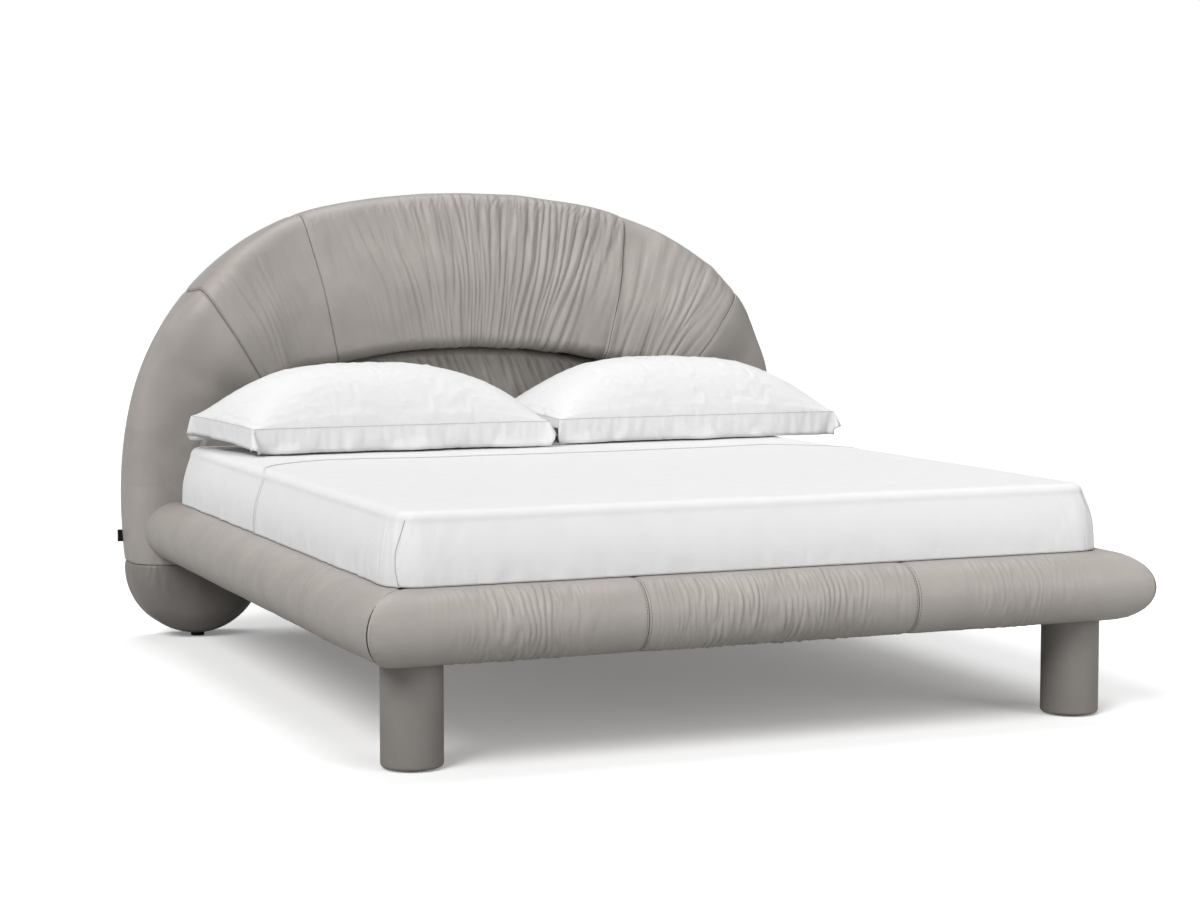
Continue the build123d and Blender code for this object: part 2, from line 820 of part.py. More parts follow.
# Centre beam, the hanger at its foot end, and the cross rail at its head end
with BuildPart() as foot_hanger:
    with BuildSketch(Plane.YZ.offset(-hanger_width / 2)):
        with Locations((y_foot_inner, centre_beam_floor_height - hanger_thickness)):
            Rectangle(hanger_thickness, hanger_height, align=(Align.MIN, Align.MIN))
            Rectangle(hanger_lip, hanger_thickness, align=(Align.MIN, Align.MIN))
    extrude(amount=hanger_width)
write(foot_hanger, "foot_hanger")


def hollow_tube(tube_plane, width, height, length, name):
    with BuildPart() as tube:
        with BuildSketch(tube_plane):
            Rectangle(width, height, align=(Align.CENTER, Align.MAX))
            with Locations((0, -tube_wall)):
                Rectangle(
                    width - 2 * tube_wall,
                    height - 2 * tube_wall,
                    align=(Align.CENTER, Align.MAX),
                    mode=Mode.SUBTRACT,
                )
        extrude(amount=length)
    write(tube, name)


y_beam_foot = y_foot_inner + hanger_thickness
centre_beam_plane = Plane(
    origin=(0, y_cross_rail, holder_floor_height), x_dir=(1, 0, 0), z_dir=(0, -1, 0)
)
hollow_tube(
    centre_beam_plane, centre_beam_width, centre_beam_height, y_cross_rail - y_beam_foot, "centre_beam"
)
cross_rail_plane = Plane(
    origin=(
        -ledge_face_x,
        y_cross_rail + cross_rail_depth / 2,
        holder_floor_height - ledge_thickness,
    ),
    x_dir=(0, 1, 0),
    z_dir=(1, 0, 0),
)
hollow_tube(
    cross_rail_plane, cross_rail_depth, centre_beam_height, 2 * ledge_face_x, "head_cross_rail"
)

y_centre_leg = y_foot + centre_leg_place
with BuildPart() as centre_leg:
    with BuildSketch(Plane.XY.offset(centre_foot_height)):
        with Locations((0, y_centre_leg)):
            Circle(centre_leg_radius)
    extrude(amount=centre_beam_floor_height - centre_foot_height)
write(centre_leg, "centre_leg")

with BuildPart() as centre_foot:
    with BuildSketch():
        with Locations((0, y_centre_leg)):
            Circle(centre_foot_radius)
    extrude(amount=centre_foot_height)
    foot_rim = centre_foot.edges().filter_by(GeomType.CIRCLE).sort_by(Axis.Z)[-1]
    chamfer(foot_rim, length=centre_foot_chamfer)
write(centre_foot, "centre_foot")

# Sprung slats in two fields, bowed upwards
slat_middle_x = (slat_inner_x + slat_outer_x) / 2
slat_end_floor_height = slat_end_top_height - slat_thickness
with BuildPart() as slats:
    for place in slat_places:
        with BuildSketch(Plane.XZ.offset(-(place - slat_depth / 2))):
            with BuildLine():
                ThreePointArc(
                    (slat_inner_x, slat_end_top_height),
                    (slat_middle_x, slat_top_height),
                    (slat_outer_x, slat_end_top_height),
                )
                Line((slat_outer_x, slat_end_top_height), (slat_outer_x, slat_end_floor_height))
                ThreePointArc(
                    (slat_outer_x, slat_end_floor_height),
                    (slat_middle_x, slat_top_height - slat_thickness),
                    (slat_inner_x, slat_end_floor_height),
                )
                Line((slat_inner_x, slat_end_floor_height), (slat_inner_x, slat_end_top_height))
            make_face()
        extrude(amount=-slat_depth)
write_pair(slats, "slats")

# Holders: end caps on the ledges, and double ones astride the centre beam
socket_plane = Plane.XY.offset(socket_floor_height)
with BuildPart() as side_holders:
    with BuildSketch(Plane.XY.offset(holder_floor_height)):
        with Locations(*[(ledge_face_x, place) for place in slat_places]):
            Rectangle(holder_reach, holder_depth, align=(Align.MAX, Align.CENTER))
    extrude(amount=holder_height)
    with BuildSketch(socket_plane):
        with Locations(*[(ledge_face_x - holder_reach, place) for place in slat_places]):
            Rectangle(socket_depth, slat_depth + socket_room, align=(Align.MIN, Align.CENTER))
    extrude(amount=socket_height, mode=Mode.SUBTRACT)
write_pair(side_holders, "slat_holders")

with BuildPart() as centre_holders:
    with BuildSketch(Plane.XY.offset(holder_floor_height)):
        with Locations(*[(0, place) for place in slat_places]):
            Rectangle(2 * centre_holder_half, holder_depth)
    extrude(amount=holder_height)
    with BuildSketch(socket_plane):
        for place in slat_places:
            with Locations((centre_holder_half, place)):
                Rectangle(socket_depth, slat_depth + socket_room, align=(Align.MAX, Align.CENTER))
            with Locations((-centre_holder_half, place)):
                Rectangle(socket_depth, slat_depth + socket_room, align=(Align.MIN, Align.CENTER))
    extrude(amount=socket_height, mode=Mode.SUBTRACT)
write(centre_holders, "slat_holders_centre")

# Mattress and its sheets
mattress_top_height = mattress_floor_height + mattress_height
with BuildPart() as mattress:
    with BuildSketch(Plane.XY.offset(mattress_floor_height)):
        with Locations((0, (y_mattress_foot + y_mattress_head) / 2)):
            RectangleRounded(mattress_width, mattress_length, mattress_corner_radius)
    extrude(amount=mattress_height)
    fillet(mattress.faces().sort_by(Axis.Z)[-1].edges(), radius=mattress_edge_radius)
    fillet(mattress.faces().sort_by(Axis.Z)[0].edges(), radius=mattress_edge_radius)
write(mattress, "mattress")

sheet_hem_height = rail_top + sheet_hem_gap


def draped_block(grow):
    top_length = mattress_length + 2 * grow
    hem_length = top_length + sheet_flare
    top_width = mattress_width + 2 * grow
    y_head = y_mattress_head + grow
    with BuildPart() as block:
        with BuildSketch(Plane.XY.offset(sheet_hem_height)):
            with Locations((0, y_head - hem_length / 2)):
                RectangleRounded(top_width + 2 * sheet_flare, hem_length, mattress_corner_radius)
        with BuildSketch(Plane.XY.offset(mattress_top_height + grow)):
            with Locations((0, y_head - top_length / 2)):
                RectangleRounded(top_width, top_length, mattress_corner_radius)
        loft()
        fillet(block.faces().sort_by(Axis.Z)[-1].edges(), radius=mattress_edge_radius)
    return block.part


with BuildPart() as fitted_sheet:
    add(draped_block(gap + sheet))
    add(draped_block(gap), mode=Mode.SUBTRACT)
write(fitted_sheet, "fitted_sheet")

top_sheet_grow = 2 * gap + sheet
y_top_hem = y_mattress_foot + top_sheet_length
with BuildPart() as top_sheet:
    add(draped_block(top_sheet_grow + sheet))
    add(draped_block(top_sheet_grow), mode=Mode.SUBTRACT)
    with BuildSketch(Plane.XY.offset(rail_floor_height)):
        with Locations((0, y_top_hem)):
            RectangleRounded(
                top_sheet_width,
                2 * top_sheet_length,
                top_sheet_corner_radius,
                align=(Align.CENTER, Align.MAX),
            )
    extrude(amount=mattress_top_height, mode=Mode.INTERSECT)
write(top_sheet, "top_sheet")

# Pillows with a plain flange all round, leaning back a little
bed_top_height = mattress_top_height + gap + sheet
pillow_half_length = pillow_tip_length / 2 - flange_reach


def pillow_plane(middle_x, setback, along=0):
    lean = math.radians(pillow_lift_angle)
    return Plane(
        origin=(
            middle_x + along,
            y_mattress_foot + pillow_front_place + setback,
            bed_top_height + pillow_front_height,
        ),
        x_dir=(0, math.cos(lean), math.sin(lean)),
        z_dir=(1, 0, 0),
    )


def pillow_body(middle_x, setback, inset):
    rest_height = bed_top_height + gap + inset
    with BuildPart() as body:
        for place_share, height_share in zip(pillow_place_shares, pillow_height_shares):
            along = place_share * (pillow_half_length - inset)
            near = pillow_waist * height_share + inset
            far = pillow_depth - near
            rise = (pillow_crown - inset) * height_share
            sag = (pillow_belly - inset) * height_share
            with BuildSketch(pillow_plane(middle_x, setback, along)):
                with BuildLine():
                    ThreePointArc((near, 0), (pillow_depth / 2, rise), (far, 0))
                    ThreePointArc((far, 0), (pillow_depth / 2, -sag), (near, 0))
                make_face()
        loft()
        split(bisect_by=Plane.XY.offset(rest_height), keep=Keep.TOP)
    return body.part


def flange_cone(middle_x, setback, drop):
    skirt_plane = pillow_plane(middle_x, setback)
    flat_plane = Plane(skirt_plane.origin, x_dir=(1, 0, 0), z_dir=skirt_plane.y_dir)
    with BuildPart() as cone:
        with BuildSketch(flat_plane.offset(-drop)):
            with Locations((0, pillow_depth / 2)):
                Rectangle(2 * pillow_half_length, pillow_depth)
        with BuildSketch(flat_plane.offset(-drop - flange_drop)):
            with Locations((0, pillow_depth / 2)):
                Rectangle(pillow_tip_length, pillow_depth + 2 * flange_reach)
        loft(ruled=True)
    return cone.part


def write_pillow(middle_x, setback, side):
    with BuildPart() as case:
        add(flange_cone(middle_x, setback, 0))
        add(flange_cone(middle_x, setback, pillowcase), mode=Mode.SUBTRACT)
        add(pillow_body(middle_x, setback, 0))
        add(pillow_body(middle_x, setback, pillowcase), mode=Mode.SUBTRACT)
    write(case, f"pillowcase_{side}")
    with BuildPart() as filling:
        add(pillow_body(middle_x, setback, pillowcase + gap))
    write(filling, f"pillow_{side}")


write_pillow(left_pillow_tip_x + pillow_tip_length / 2, 0, "left")
write_pillow(tab_tip_x - pillow_tip_length / 2, right_pillow_setback, "right")
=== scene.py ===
import math

import bmesh
import bpy
import numpy as np
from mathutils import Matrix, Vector
from mathutils.bvhtree import BVHTree


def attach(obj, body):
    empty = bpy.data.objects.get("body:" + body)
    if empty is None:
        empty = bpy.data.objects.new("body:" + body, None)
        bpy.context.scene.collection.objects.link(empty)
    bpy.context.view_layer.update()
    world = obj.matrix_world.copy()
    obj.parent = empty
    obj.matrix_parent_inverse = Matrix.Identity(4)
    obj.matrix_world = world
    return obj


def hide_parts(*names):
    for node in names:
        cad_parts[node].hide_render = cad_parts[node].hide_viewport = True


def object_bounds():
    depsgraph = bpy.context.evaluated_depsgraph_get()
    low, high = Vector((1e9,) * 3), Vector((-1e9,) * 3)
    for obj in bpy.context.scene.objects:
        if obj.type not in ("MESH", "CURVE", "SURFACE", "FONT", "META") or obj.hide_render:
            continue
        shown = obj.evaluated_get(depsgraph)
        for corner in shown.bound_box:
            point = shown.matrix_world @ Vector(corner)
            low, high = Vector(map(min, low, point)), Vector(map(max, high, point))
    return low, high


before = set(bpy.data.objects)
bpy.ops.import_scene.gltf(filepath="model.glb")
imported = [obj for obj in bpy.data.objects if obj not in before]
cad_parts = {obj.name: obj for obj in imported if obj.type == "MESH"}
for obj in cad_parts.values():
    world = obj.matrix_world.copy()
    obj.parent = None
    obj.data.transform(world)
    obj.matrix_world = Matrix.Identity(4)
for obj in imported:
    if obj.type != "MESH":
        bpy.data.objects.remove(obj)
cad_box = [list(corner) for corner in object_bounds()]

# Lengths are metres and angles are degrees, in the frame's own axes:
# +X to the right seen from the foot, +Y towards the head, +Z up.

# Headboard outline, as in the frame
headboard_height = 1.331
crown_radius = 2.145
crown_angle = 10.9
shoulder_radius = 0.793
shoulder_angle = 77
side_radius = 1.217
lobe_radius = 0.2
lobe_floor_gap = 0.007
lobe_tuck = 0.0095
lobe_seam_height = 0.226
panel_top_height = 0.857
panel_radius = 2.055
panel_corner_radius = 0.15
panel_floor_height = 0.262
panel_edge_radius = 0.03
rim_radius = 0.015
back_build = 0.021

# Depths of the roll, measured forwards from the back
low_depth = 0.19
chest_depth = 0.2174
shoulder_depth = 0.288
upper_depth = 0.276
late_depth = 0.249
crown_depth = 0.228
panel_depth = 0.14

# Bed ring and mattress
y_back = cad_box[1][1]
y_foot = cad_box[0][1]
rail_width = 0.119
rail_height = 0.172
rail_floor_height = 0.241
rail_inner_radius = 0.012
foot_seam_place = 0.35
frame_inner = 0.9015
y_foot_inner = y_foot + rail_width
y_low_front = y_back - low_depth

# Grid steps of the modelled leather
arch_step = 0.0022
rail_step = 0.0025


def on_arc(centre, radius, angle):
    turn = math.radians(angle)
    return (centre[0] + radius * math.sin(turn), centre[1] + radius * math.cos(turn))


crown_centre = (0, headboard_height - crown_radius)
shoulder_centre = on_arc(crown_centre, crown_radius - shoulder_radius, crown_angle)
side_centre = on_arc(shoulder_centre, shoulder_radius - side_radius, shoulder_angle)
half_width, widest_height = on_arc(side_centre, side_radius, 90)
lobe_outer = half_width - lobe_tuck
lobe_centre_x = lobe_outer - lobe_radius
lobe_centre_height = lobe_floor_gap + lobe_radius
panel_half_width = lobe_centre_x - lobe_radius
low_side_rise = widest_height - lobe_seam_height
low_side_radius = (low_side_rise**2 + lobe_tuck**2) / (2 * lobe_tuck)
low_side_angle = 90 + math.degrees(math.asin(low_side_rise / low_side_radius))
low_side_centre = (half_width - low_side_radius, widest_height)
panel_corner_x = panel_half_width - panel_corner_radius
panel_centre = (0, panel_top_height - panel_radius)
panel_corner_reach = panel_radius - panel_corner_radius
panel_corner_angle = math.degrees(math.asin(panel_corner_x / panel_corner_reach))
panel_corner_centre = on_arc(panel_centre, panel_corner_reach, panel_corner_angle)


def outline_point(angle):
    if angle < crown_angle:
        return on_arc(crown_centre, crown_radius, angle)
    if angle < shoulder_angle:
        return on_arc(shoulder_centre, shoulder_radius, angle)
    if angle <= 90:
        return on_arc(side_centre, side_radius, angle)
    return on_arc(low_side_centre, low_side_radius, angle)


def outline_length(angle):
    """Length of the outline from the top of the crown to the point with this normal angle."""
    spans = (
        (0, crown_angle, crown_radius),
        (crown_angle, shoulder_angle, shoulder_radius),
        (shoulder_angle, 90, side_radius),
        (90, low_side_angle, low_side_radius),
    )
    return sum(
        radius * math.radians(min(max(angle, start), end) - start) for start, end, radius in spans
    )


def panel_point(angle):
    if angle < panel_corner_angle:
        return on_arc(panel_centre, panel_radius, angle)
    return on_arc(panel_corner_centre, panel_corner_radius, angle)


# Smooth tools
def monotone(places, values, at):
    """Smooth curve through (places, values) that never overshoots them, read at the places in at."""
    places = np.asarray(places, float)
    values = np.asarray(values, float)
    if values.ndim == 1:
        values = values[:, None]
    run = np.diff(places)[:, None]
    slope = np.diff(values, axis=0) / run
    tangent = np.zeros_like(values)
    tangent[0], tangent[-1] = slope[0], slope[-1]
    same = slope[:-1] * slope[1:] > 0
    mean = 2 * slope[:-1] * slope[1:] / np.where(same, slope[:-1] + slope[1:], 1)
    tangent[1:-1] = np.where(same, mean, 0)
    index = np.clip(np.searchsorted(places, at) - 1, 0, len(places) - 2)
    share = ((at - places[index]) / run[index, 0])[:, None]
    h = run[index]
    low, high = values[index], values[index + 1]
    curve = (
        (2 * share**3 - 3 * share**2 + 1) * low
        + (share**3 - 2 * share**2 + share) * h * tangent[index]
        + (3 * share**2 - 2 * share**3) * high
        + (share**3 - share**2) * h * tangent[index + 1]
    )
    return curve[:, 0] if curve.shape[1] == 1 else curve


def ease(low, high, value):
    share = np.clip((value - low) / (high - low), 0, 1)
    return share * share * (3 - 2 * share)


def ripple(x, y, seed):
    """Smooth gradient noise, about -1 to 1, with one cell per unit of x and y."""
    cells = 128
    turns = np.random.default_rng(seed).uniform(0, 2 * np.pi, (cells, cells))
    lean_x, lean_y = np.cos(turns), np.sin(turns)
    x, y = np.broadcast_arrays(np.asarray(x, float), np.asarray(y, float))
    column, row = np.floor(x).astype(int), np.floor(y).astype(int)
    part_x, part_y = x - column, y - row
    fade_x = part_x**3 * (part_x * (part_x * 6 - 15) + 10)
    fade_y = part_y**3 * (part_y * (part_y * 6 - 15) + 10)

    def corner(dx, dy):
        i, j = (column + dx) % cells, (row + dy) % cells
        return lean_x[i, j] * (part_x - dx) + lean_y[i, j] * (part_y - dy)

    low = corner(0, 0) * (1 - fade_x) + corner(1, 0) * fade_x
    high = corner(0, 1) * (1 - fade_x) + corner(1, 1) * fade_x
    return 1.5 * (low * (1 - fade_y) + high * fade_y)


def soft_ridges(x, y, seed):
    """Rounded ridges, 0 to 1, with narrow valleys where smooth noise crosses zero."""
    softness, top = 0.1, 0.6
    level = np.sqrt(ripple(x, y, seed) ** 2 + softness**2) - softness
    return top * np.tanh(level / top) / top


def pleats(across, along, width, length, seed):
    """Gathers that run along one way, about a width apart, and wander and merge a little."""
    wander_share, fine_share, fine_width, fine_length = 0.4, 0.12, 0.55, 0.7
    wander = width * wander_share * ripple(across / (width * 5), along / (length * 0.6), seed + 1)
    broad = soft_ridges((across + wander) / width, along / length, seed)
    fine = soft_ridges((across - wander) / (width * fine_width), along / (length * fine_length), seed + 2)
    return (1 - fine_share) * broad + fine_share * fine


# Mesh tools
def add_object(name, data):
    made = bpy.data.objects.new(name, data)
    bpy.context.scene.collection.objects.link(made)
    return made


def new_object(name, verts, faces):
    mesh = bpy.data.meshes.new(name)
    mesh.from_pydata(np.asarray(verts).reshape(-1, 3).tolist(), [], faces)
    mesh.update()
    mesh.shade_smooth()
    return add_object(name, mesh)


def face_outward(piece):
    bm = bmesh.new()
    bm.from_mesh(piece.data)
    bmesh.ops.recalc_face_normals(bm, faces=bm.faces[:])
    bm.to_mesh(piece.data)
    bm.free()


def grid_faces(rows, columns, wrap, start=0, flip=False):
    """Quads of a grid of rows by columns vertices; wrap joins the last column to the first."""
    row = np.arange(rows - 1)[:, None]
    column = np.arange(columns if wrap else columns - 1)[None, :]
    beside = (column + 1) % columns
    low, high = row * columns, (row + 1) * columns
    quads = np.stack([low + column, low + beside, high + beside, high + column], axis=-1)
    if flip:
        quads = quads[..., ::-1]
    return (quads.reshape(-1, 4) + start).tolist()


def boundary(rows, columns):
    """Grid numbers of a grid's rim, in order round it."""
    index = np.arange(rows * columns).reshape(rows, columns)
    return np.concatenate([index[:, 0], index[-1, 1:], index[-2::-1, -1], index[0, -2:0:-1]])


def grid_normals(points, wrap):
    """Unit normals of a grid of points, rows along the first axis."""
    down = np.gradient(points, axis=0)
    if wrap:
        across = np.roll(points, -1, axis=1) - np.roll(points, 1, axis=1)
    else:
        across = np.gradient(points, axis=1)
    normals = np.cross(down, across)
    normals /= np.maximum(np.linalg.norm(normals, axis=2, keepdims=True), 1e-12)
    return normals


def outward(points, wrap):
    """Grid normals that point away from the middle of each row's loop."""
    normals = grid_normals(points, wrap)
    away = points - points.mean(axis=1, keepdims=True)
    if (normals * away).sum() < 0:
        normals = -normals
    return normals


def tube(name, points):
    """Closed skin from a grid whose rows are closed loops, capped at both ends."""
    rows, columns = points.shape[:2]
    faces = grid_faces(rows, columns, True)
    faces.append(list(range(columns))[::-1])
    faces.append([(rows - 1) * columns + i for i in range(columns)])
    piece = new_object(name, points, faces)
    face_outward(piece)
    return piece


def rounded_path(corners, radii, line_steps, arc_steps):
    """Points along a polyline whose inner corners are rounded with these radii."""
    corners = np.asarray(corners, float)
    points = [corners[0][None, :]]
    last = corners[0]
    for index, radius in enumerate(radii, start=1):
        corner = corners[index]
        back = corners[index - 1] - corner
        ahead = corners[index + 1] - corner
        back /= np.linalg.norm(back)
        ahead /= np.linalg.norm(ahead)
        half = math.acos(max(-1, min(1, float(back @ ahead)))) / 2
        reach = radius / math.tan(half)
        start, end = corner + back * reach, corner + ahead * reach
        middle_way = (back + ahead) / np.linalg.norm(back + ahead)
        centre = corner + middle_way * (radius / math.sin(half))
        shares = np.linspace(0, 1, line_steps + 1)[1:, None]
        points.append(last + (start - last) * shares)
        first, final = start - centre, end - centre
        sweep = math.acos(max(-1, min(1, float(first @ final) / radius**2)))
        turn = np.linspace(0, 1, arc_steps + 1)[1:, None] * sweep
        points.append(
            centre + (np.sin(sweep - turn) * first + np.sin(turn) * final) / math.sin(sweep)
        )
        last = end
    shares = np.linspace(0, 1, line_steps + 1)[1:, None]
    points.append(last + (corners[-1] - last) * shares)
    return np.concatenate(points)


# Materials
class Shader:
    """Small helper that adds and links the nodes of one material."""

    def __init__(self, name, roughness, specular):
        self.material = bpy.data.materials.new(name)
        self.material.use_nodes = True
        self.tree = self.material.node_tree
        self.surface = self.tree.nodes["Principled BSDF"]
        self.surface.inputs["Roughness"].default_value = roughness
        self.surface.inputs["Specular IOR Level"].default_value = specular
        self.place = self.node("ShaderNodeTexCoord").outputs["Object"]

    def node(self, kind, **settings):
        made = self.tree.nodes.new(kind)
        for key, value in settings.items():
            if key in made.inputs:
                made.inputs[key].default_value = value
            else:
                setattr(made, key, value)
        return made

    def link(self, source, target):
        self.tree.links.new(source, target)

    def stretched(self, scale):
        mapping = self.node("ShaderNodeMapping")
        mapping.inputs["Scale"].default_value = scale
        self.link(self.place, mapping.inputs["Vector"])
        return mapping.outputs["Vector"]

    def noise(self, scale, detail=3, place=None, roughness=0.5):
        made = self.node("ShaderNodeTexNoise", Scale=scale, Detail=detail, Roughness=roughness)
        self.link(place or self.place, made.inputs["Vector"])
        return made.outputs["Fac"]

    def cells(self, scale, feature="F1", place=None):
        made = self.node("ShaderNodeTexVoronoi", Scale=scale, feature=feature)
        self.link(place or self.place, made.inputs["Vector"])
        return made.outputs["Distance"]

    def ramp(self, source, stops):
        made = self.node("ShaderNodeValToRGB")
        ramp = made.color_ramp
        while len(ramp.elements) < len(stops):
            ramp.elements.new(0.5)
        for element, (place, colour) in zip(ramp.elements, stops):
            element.position = place
            element.color = (*colour, 1)
        self.link(source, made.inputs["Fac"])
        return made.outputs["Color"]

    def spread(self, source, low, high):
        made = self.node("ShaderNodeMapRange")
        made.inputs["To Min"].default_value = low
        made.inputs["To Max"].default_value = high
        self.link(source, made.inputs["Value"])
        return made.outputs["Result"]

    def colour(self, source):
        self.link(source, self.surface.inputs["Base Color"])

    def rough(self, source, low, high):
        self.link(self.spread(source, low, high), self.surface.inputs["Roughness"])

    def bump(self, *layers):
        """layers are (height source, height in metres), from broad to fine."""
        normal = None
        for source, height in layers:
            made = self.node("ShaderNodeBump")
            made.inputs["Strength"].default_value = 1
            made.inputs["Distance"].default_value = height
            self.link(source, made.inputs["Height"])
            if normal:
                self.link(normal, made.inputs["Normal"])
            normal = made.outputs["Normal"]
        self.link(normal, self.surface.inputs["Normal"])


def shade(colour, share):
    return tuple(channel * share for channel in colour)


def grey(value):
    return (value, value, value)


def two_tone(name, roughness, specular, scale, detail, dark, light):
    """Material whose colour wanders between two tones, which may get bumps or a finish of its own."""
    made = Shader(name, roughness, specular)
    made.colour(made.ramp(made.noise(scale, detail), [(0.3, dark), (0.7, light)]))
    return made


leather_colour = (0.362, 0.336, 0.312)
cotton_colour = (0.77, 0.77, 0.775)


def leather_material(name, colour):
    made = Shader(name, 0.47, 0.42)
    tones = [(0.3, shade(colour, 0.93)), (0.5, colour), (0.72, shade(colour, 1.06))]
    made.colour(made.ramp(made.noise(9, 5), tones))
    made.rough(made.noise(26, 4), 0.42, 0.54)
    made.bump(
        (made.noise(70, 4), 0.0007),
        (made.cells(900, "DISTANCE_TO_EDGE"), 0.00012),
        (made.noise(2600, 2), 0.00006),
    )
    return made.material


# Dark material of the thin lines laid in the seams' grooves: painted shade
def seam_material():
    dark, light = (0.03, 0.027, 0.024), (0.06, 0.055, 0.05)
    return two_tone("leather_seam_shadow", 0.8, 0.2, 300, 2, dark, light).material


def thread_material(name, dark, light):
    made = two_tone(name, 0.75, 0.25, 900, 2, dark, light)
    made.bump((made.noise(4000, 1), 0.00008))
    return made.material


def cotton_material():
    made = two_tone("white_cotton", 0.85, 0.15, 14, 3, shade(cotton_colour, 0.975), cotton_colour)
    made.surface.inputs["Sheen Weight"].default_value = 0.12
    made.surface.inputs["Sheen Roughness"].default_value = 0.4
    layers = [(made.noise(38, 4), 0.0007)]
    for stretch, bands in (((1, 0.25, 1), "X"), ((0.25, 1, 1), "Y")):
        weave = made.node("ShaderNodeTexWave", Scale=640, Distortion=0.6, bands_direction=bands)
        made.link(made.stretched(stretch), weave.inputs["Vector"])
        layers.append((weave.outputs["Fac"], 0.00006))
    made.bump(*layers)
    return made.material


def ticking_material():
    made = two_tone("mattress_ticking", 0.85, 0.2, 60, 4, (0.7, 0.69, 0.66), (0.8, 0.79, 0.76))
    made.bump((made.cells(34, "SMOOTH_F1"), 0.004), (made.noise(1200, 2), 0.0001))
    return made.material


def wood_material(name, light, dark, grain_scale):
    made = Shader(name, 0.5, 0.35)
    grain = made.noise(grain_scale, 6, made.stretched((0.12, 1, 1)), 0.62)
    made.colour(made.ramp(grain, [(0.3, dark), (0.55, light), (0.75, shade(light, 1.12))]))
    made.rough(grain, 0.42, 0.6)
    made.bump((made.noise(grain_scale * 6, 3, made.stretched((0.06, 1, 1))), 0.00025))
    return made.material


def steel_material():
    made = two_tone("black_coated_steel", 0.5, 0.4, 45, 3, (0.014, 0.014, 0.015), (0.024, 0.024, 0.026))
    made.bump((made.noise(1500, 2), 0.0001))
    return made.material


def zinc_material():
    made = two_tone("zinc_plated_steel", 0.34, 0.5, 120, 3, grey(0.5), (0.64, 0.64, 0.62))
    made.surface.inputs["Metallic"].default_value = 1
    made.rough(made.noise(200, 3), 0.26, 0.42)
    return made.material


def plastic_material():
    made = two_tone("black_moulded_plastic", 0.55, 0.4, 90, 2, grey(0.012), grey(0.02))
    made.bump((made.noise(2400, 2), 0.00008))
    return made.material


def tab_material():
    made = two_tone("black_woven_tab", 0.8, 0.2, 500, 2, grey(0.006), grey(0.012))
    rib = made.node("ShaderNodeTexWave", Scale=300, bands_direction="Z")
    made.link(made.place, rib.inputs["Vector"])
    made.bump((rib.outputs["Fac"], 0.0001))
    return made.material


leather = leather_material("grey_leather", leather_colour)
# Darker copy of the leather: on the lobes it is painted shade under the rails and the bed; on the front legs
# it is partly a darker finish and partly painted shade under the rails
shaded_low_leather = leather_material("shaded_low_leather", shade(leather_colour, 0.6))
seam_shadow = seam_material()
thread = thread_material("grey_thread", shade(leather_colour, 0.3), shade(leather_colour, 0.5))
# Thread of the sheets and pillows, greyer than the cotton: partly the thread's own colour and partly painted
# shade of the seams, hems and folds it lies in
shaded_cotton_thread = thread_material("white_thread_painted_shade", shade(cotton_colour, 0.5), shade(cotton_colour, 0.62))
cotton = cotton_material()
ticking = ticking_material()
slat_wood = wood_material("beech_plywood", (0.5, 0.33, 0.19), (0.36, 0.22, 0.12), 26)
board_wood = wood_material("pine_board", (0.45, 0.31, 0.18), (0.33, 0.21, 0.12), 18)
steel = steel_material()
zinc = zinc_material()
plastic = plastic_material()
tab_cloth = tab_material()


def dress(piece, material, body="frame"):
    piece.data.materials.append(material)
    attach(piece, body)


def paint(name, material):
    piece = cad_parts[name]
    if not piece.material_slots:
        piece.data.materials.append(material)
    for place in piece.material_slots:
        place.material = material


# Arch of the headboard. The shares of a section are the depth at its inner side, the place of its
# deepest point, the depth at its outer side, and the rounding inside, in the middle and outside.
low_shares = (0.955, 0.5, 0.955, 0.46, 1.9, 0.46)
chest_shares = (0.93, 0.52, 0.95, 0.42, 1.4, 0.37)
shoulder_shares = (0.82, 0.6, 0.93, 0.31, 0.85, 0.27)
upper_shares = (0.87, 0.56, 0.9, 0.3, 1, 0.26)
late_shares = (0.92, 0.53, 0.8, 0.25, 1.2, 0.28)
crown_shares = (0.955, 0.5, 0.65, 0.2, 1.5, 0.31)
mattress_seat_height = 0.56
rail_seat_height = 0.42
# Each station: angle on the outline, point on the panel's edge, depth of the roll, shares of its shape
arch_stations = [
    (0, panel_point(0), crown_depth, crown_shares),
    (6.5, panel_point(4), crown_depth, crown_shares),
    (13, panel_point(8), crown_depth, crown_shares),
    (20, panel_point(12.2), crown_depth, crown_shares),
    (30, panel_point(20), late_depth, late_shares),
    (41, panel_point(45), upper_depth, upper_shares),
    (51, panel_point(70), shoulder_depth, shoulder_shares),
    (66, panel_point(90), chest_depth, chest_shares),
    (80, (panel_half_width, mattress_seat_height), low_depth, low_shares),
    (90, (panel_half_width, rail_seat_height), low_depth, low_shares),
    (low_side_angle, (panel_half_width, lobe_seam_height), low_depth, low_shares),
]
station_lengths = [outline_length(station[0]) for station in arch_stations]
plain_seam_angle, right_seam_angle, left_seam_angle = 20, 51, 49
plain_seam_length = outline_length(plain_seam_angle)
stitched_seam_length = outline_length(right_seam_angle)
left_seam_length = outline_length(left_seam_angle)
lobe_seam_length = outline_length(low_side_angle)
angle_steps = np.linspace(0, low_side_angle, 400)
length_steps = [outline_length(angle) for angle in angle_steps]


# How far the padding flares past the outline towards its front, by outline angle
swell_angles = (0, 20, 41, 51, 60, 70, 80, 88)
swells = (0.006, 0.012, 0.015, 0.018, 0.032, 0.045, 0.042, 0)
swell_start, swell_power = 0.6, 1.4
path_line_steps, path_arc_steps = 6, 24
tight_rim = rim_radius * 0.98


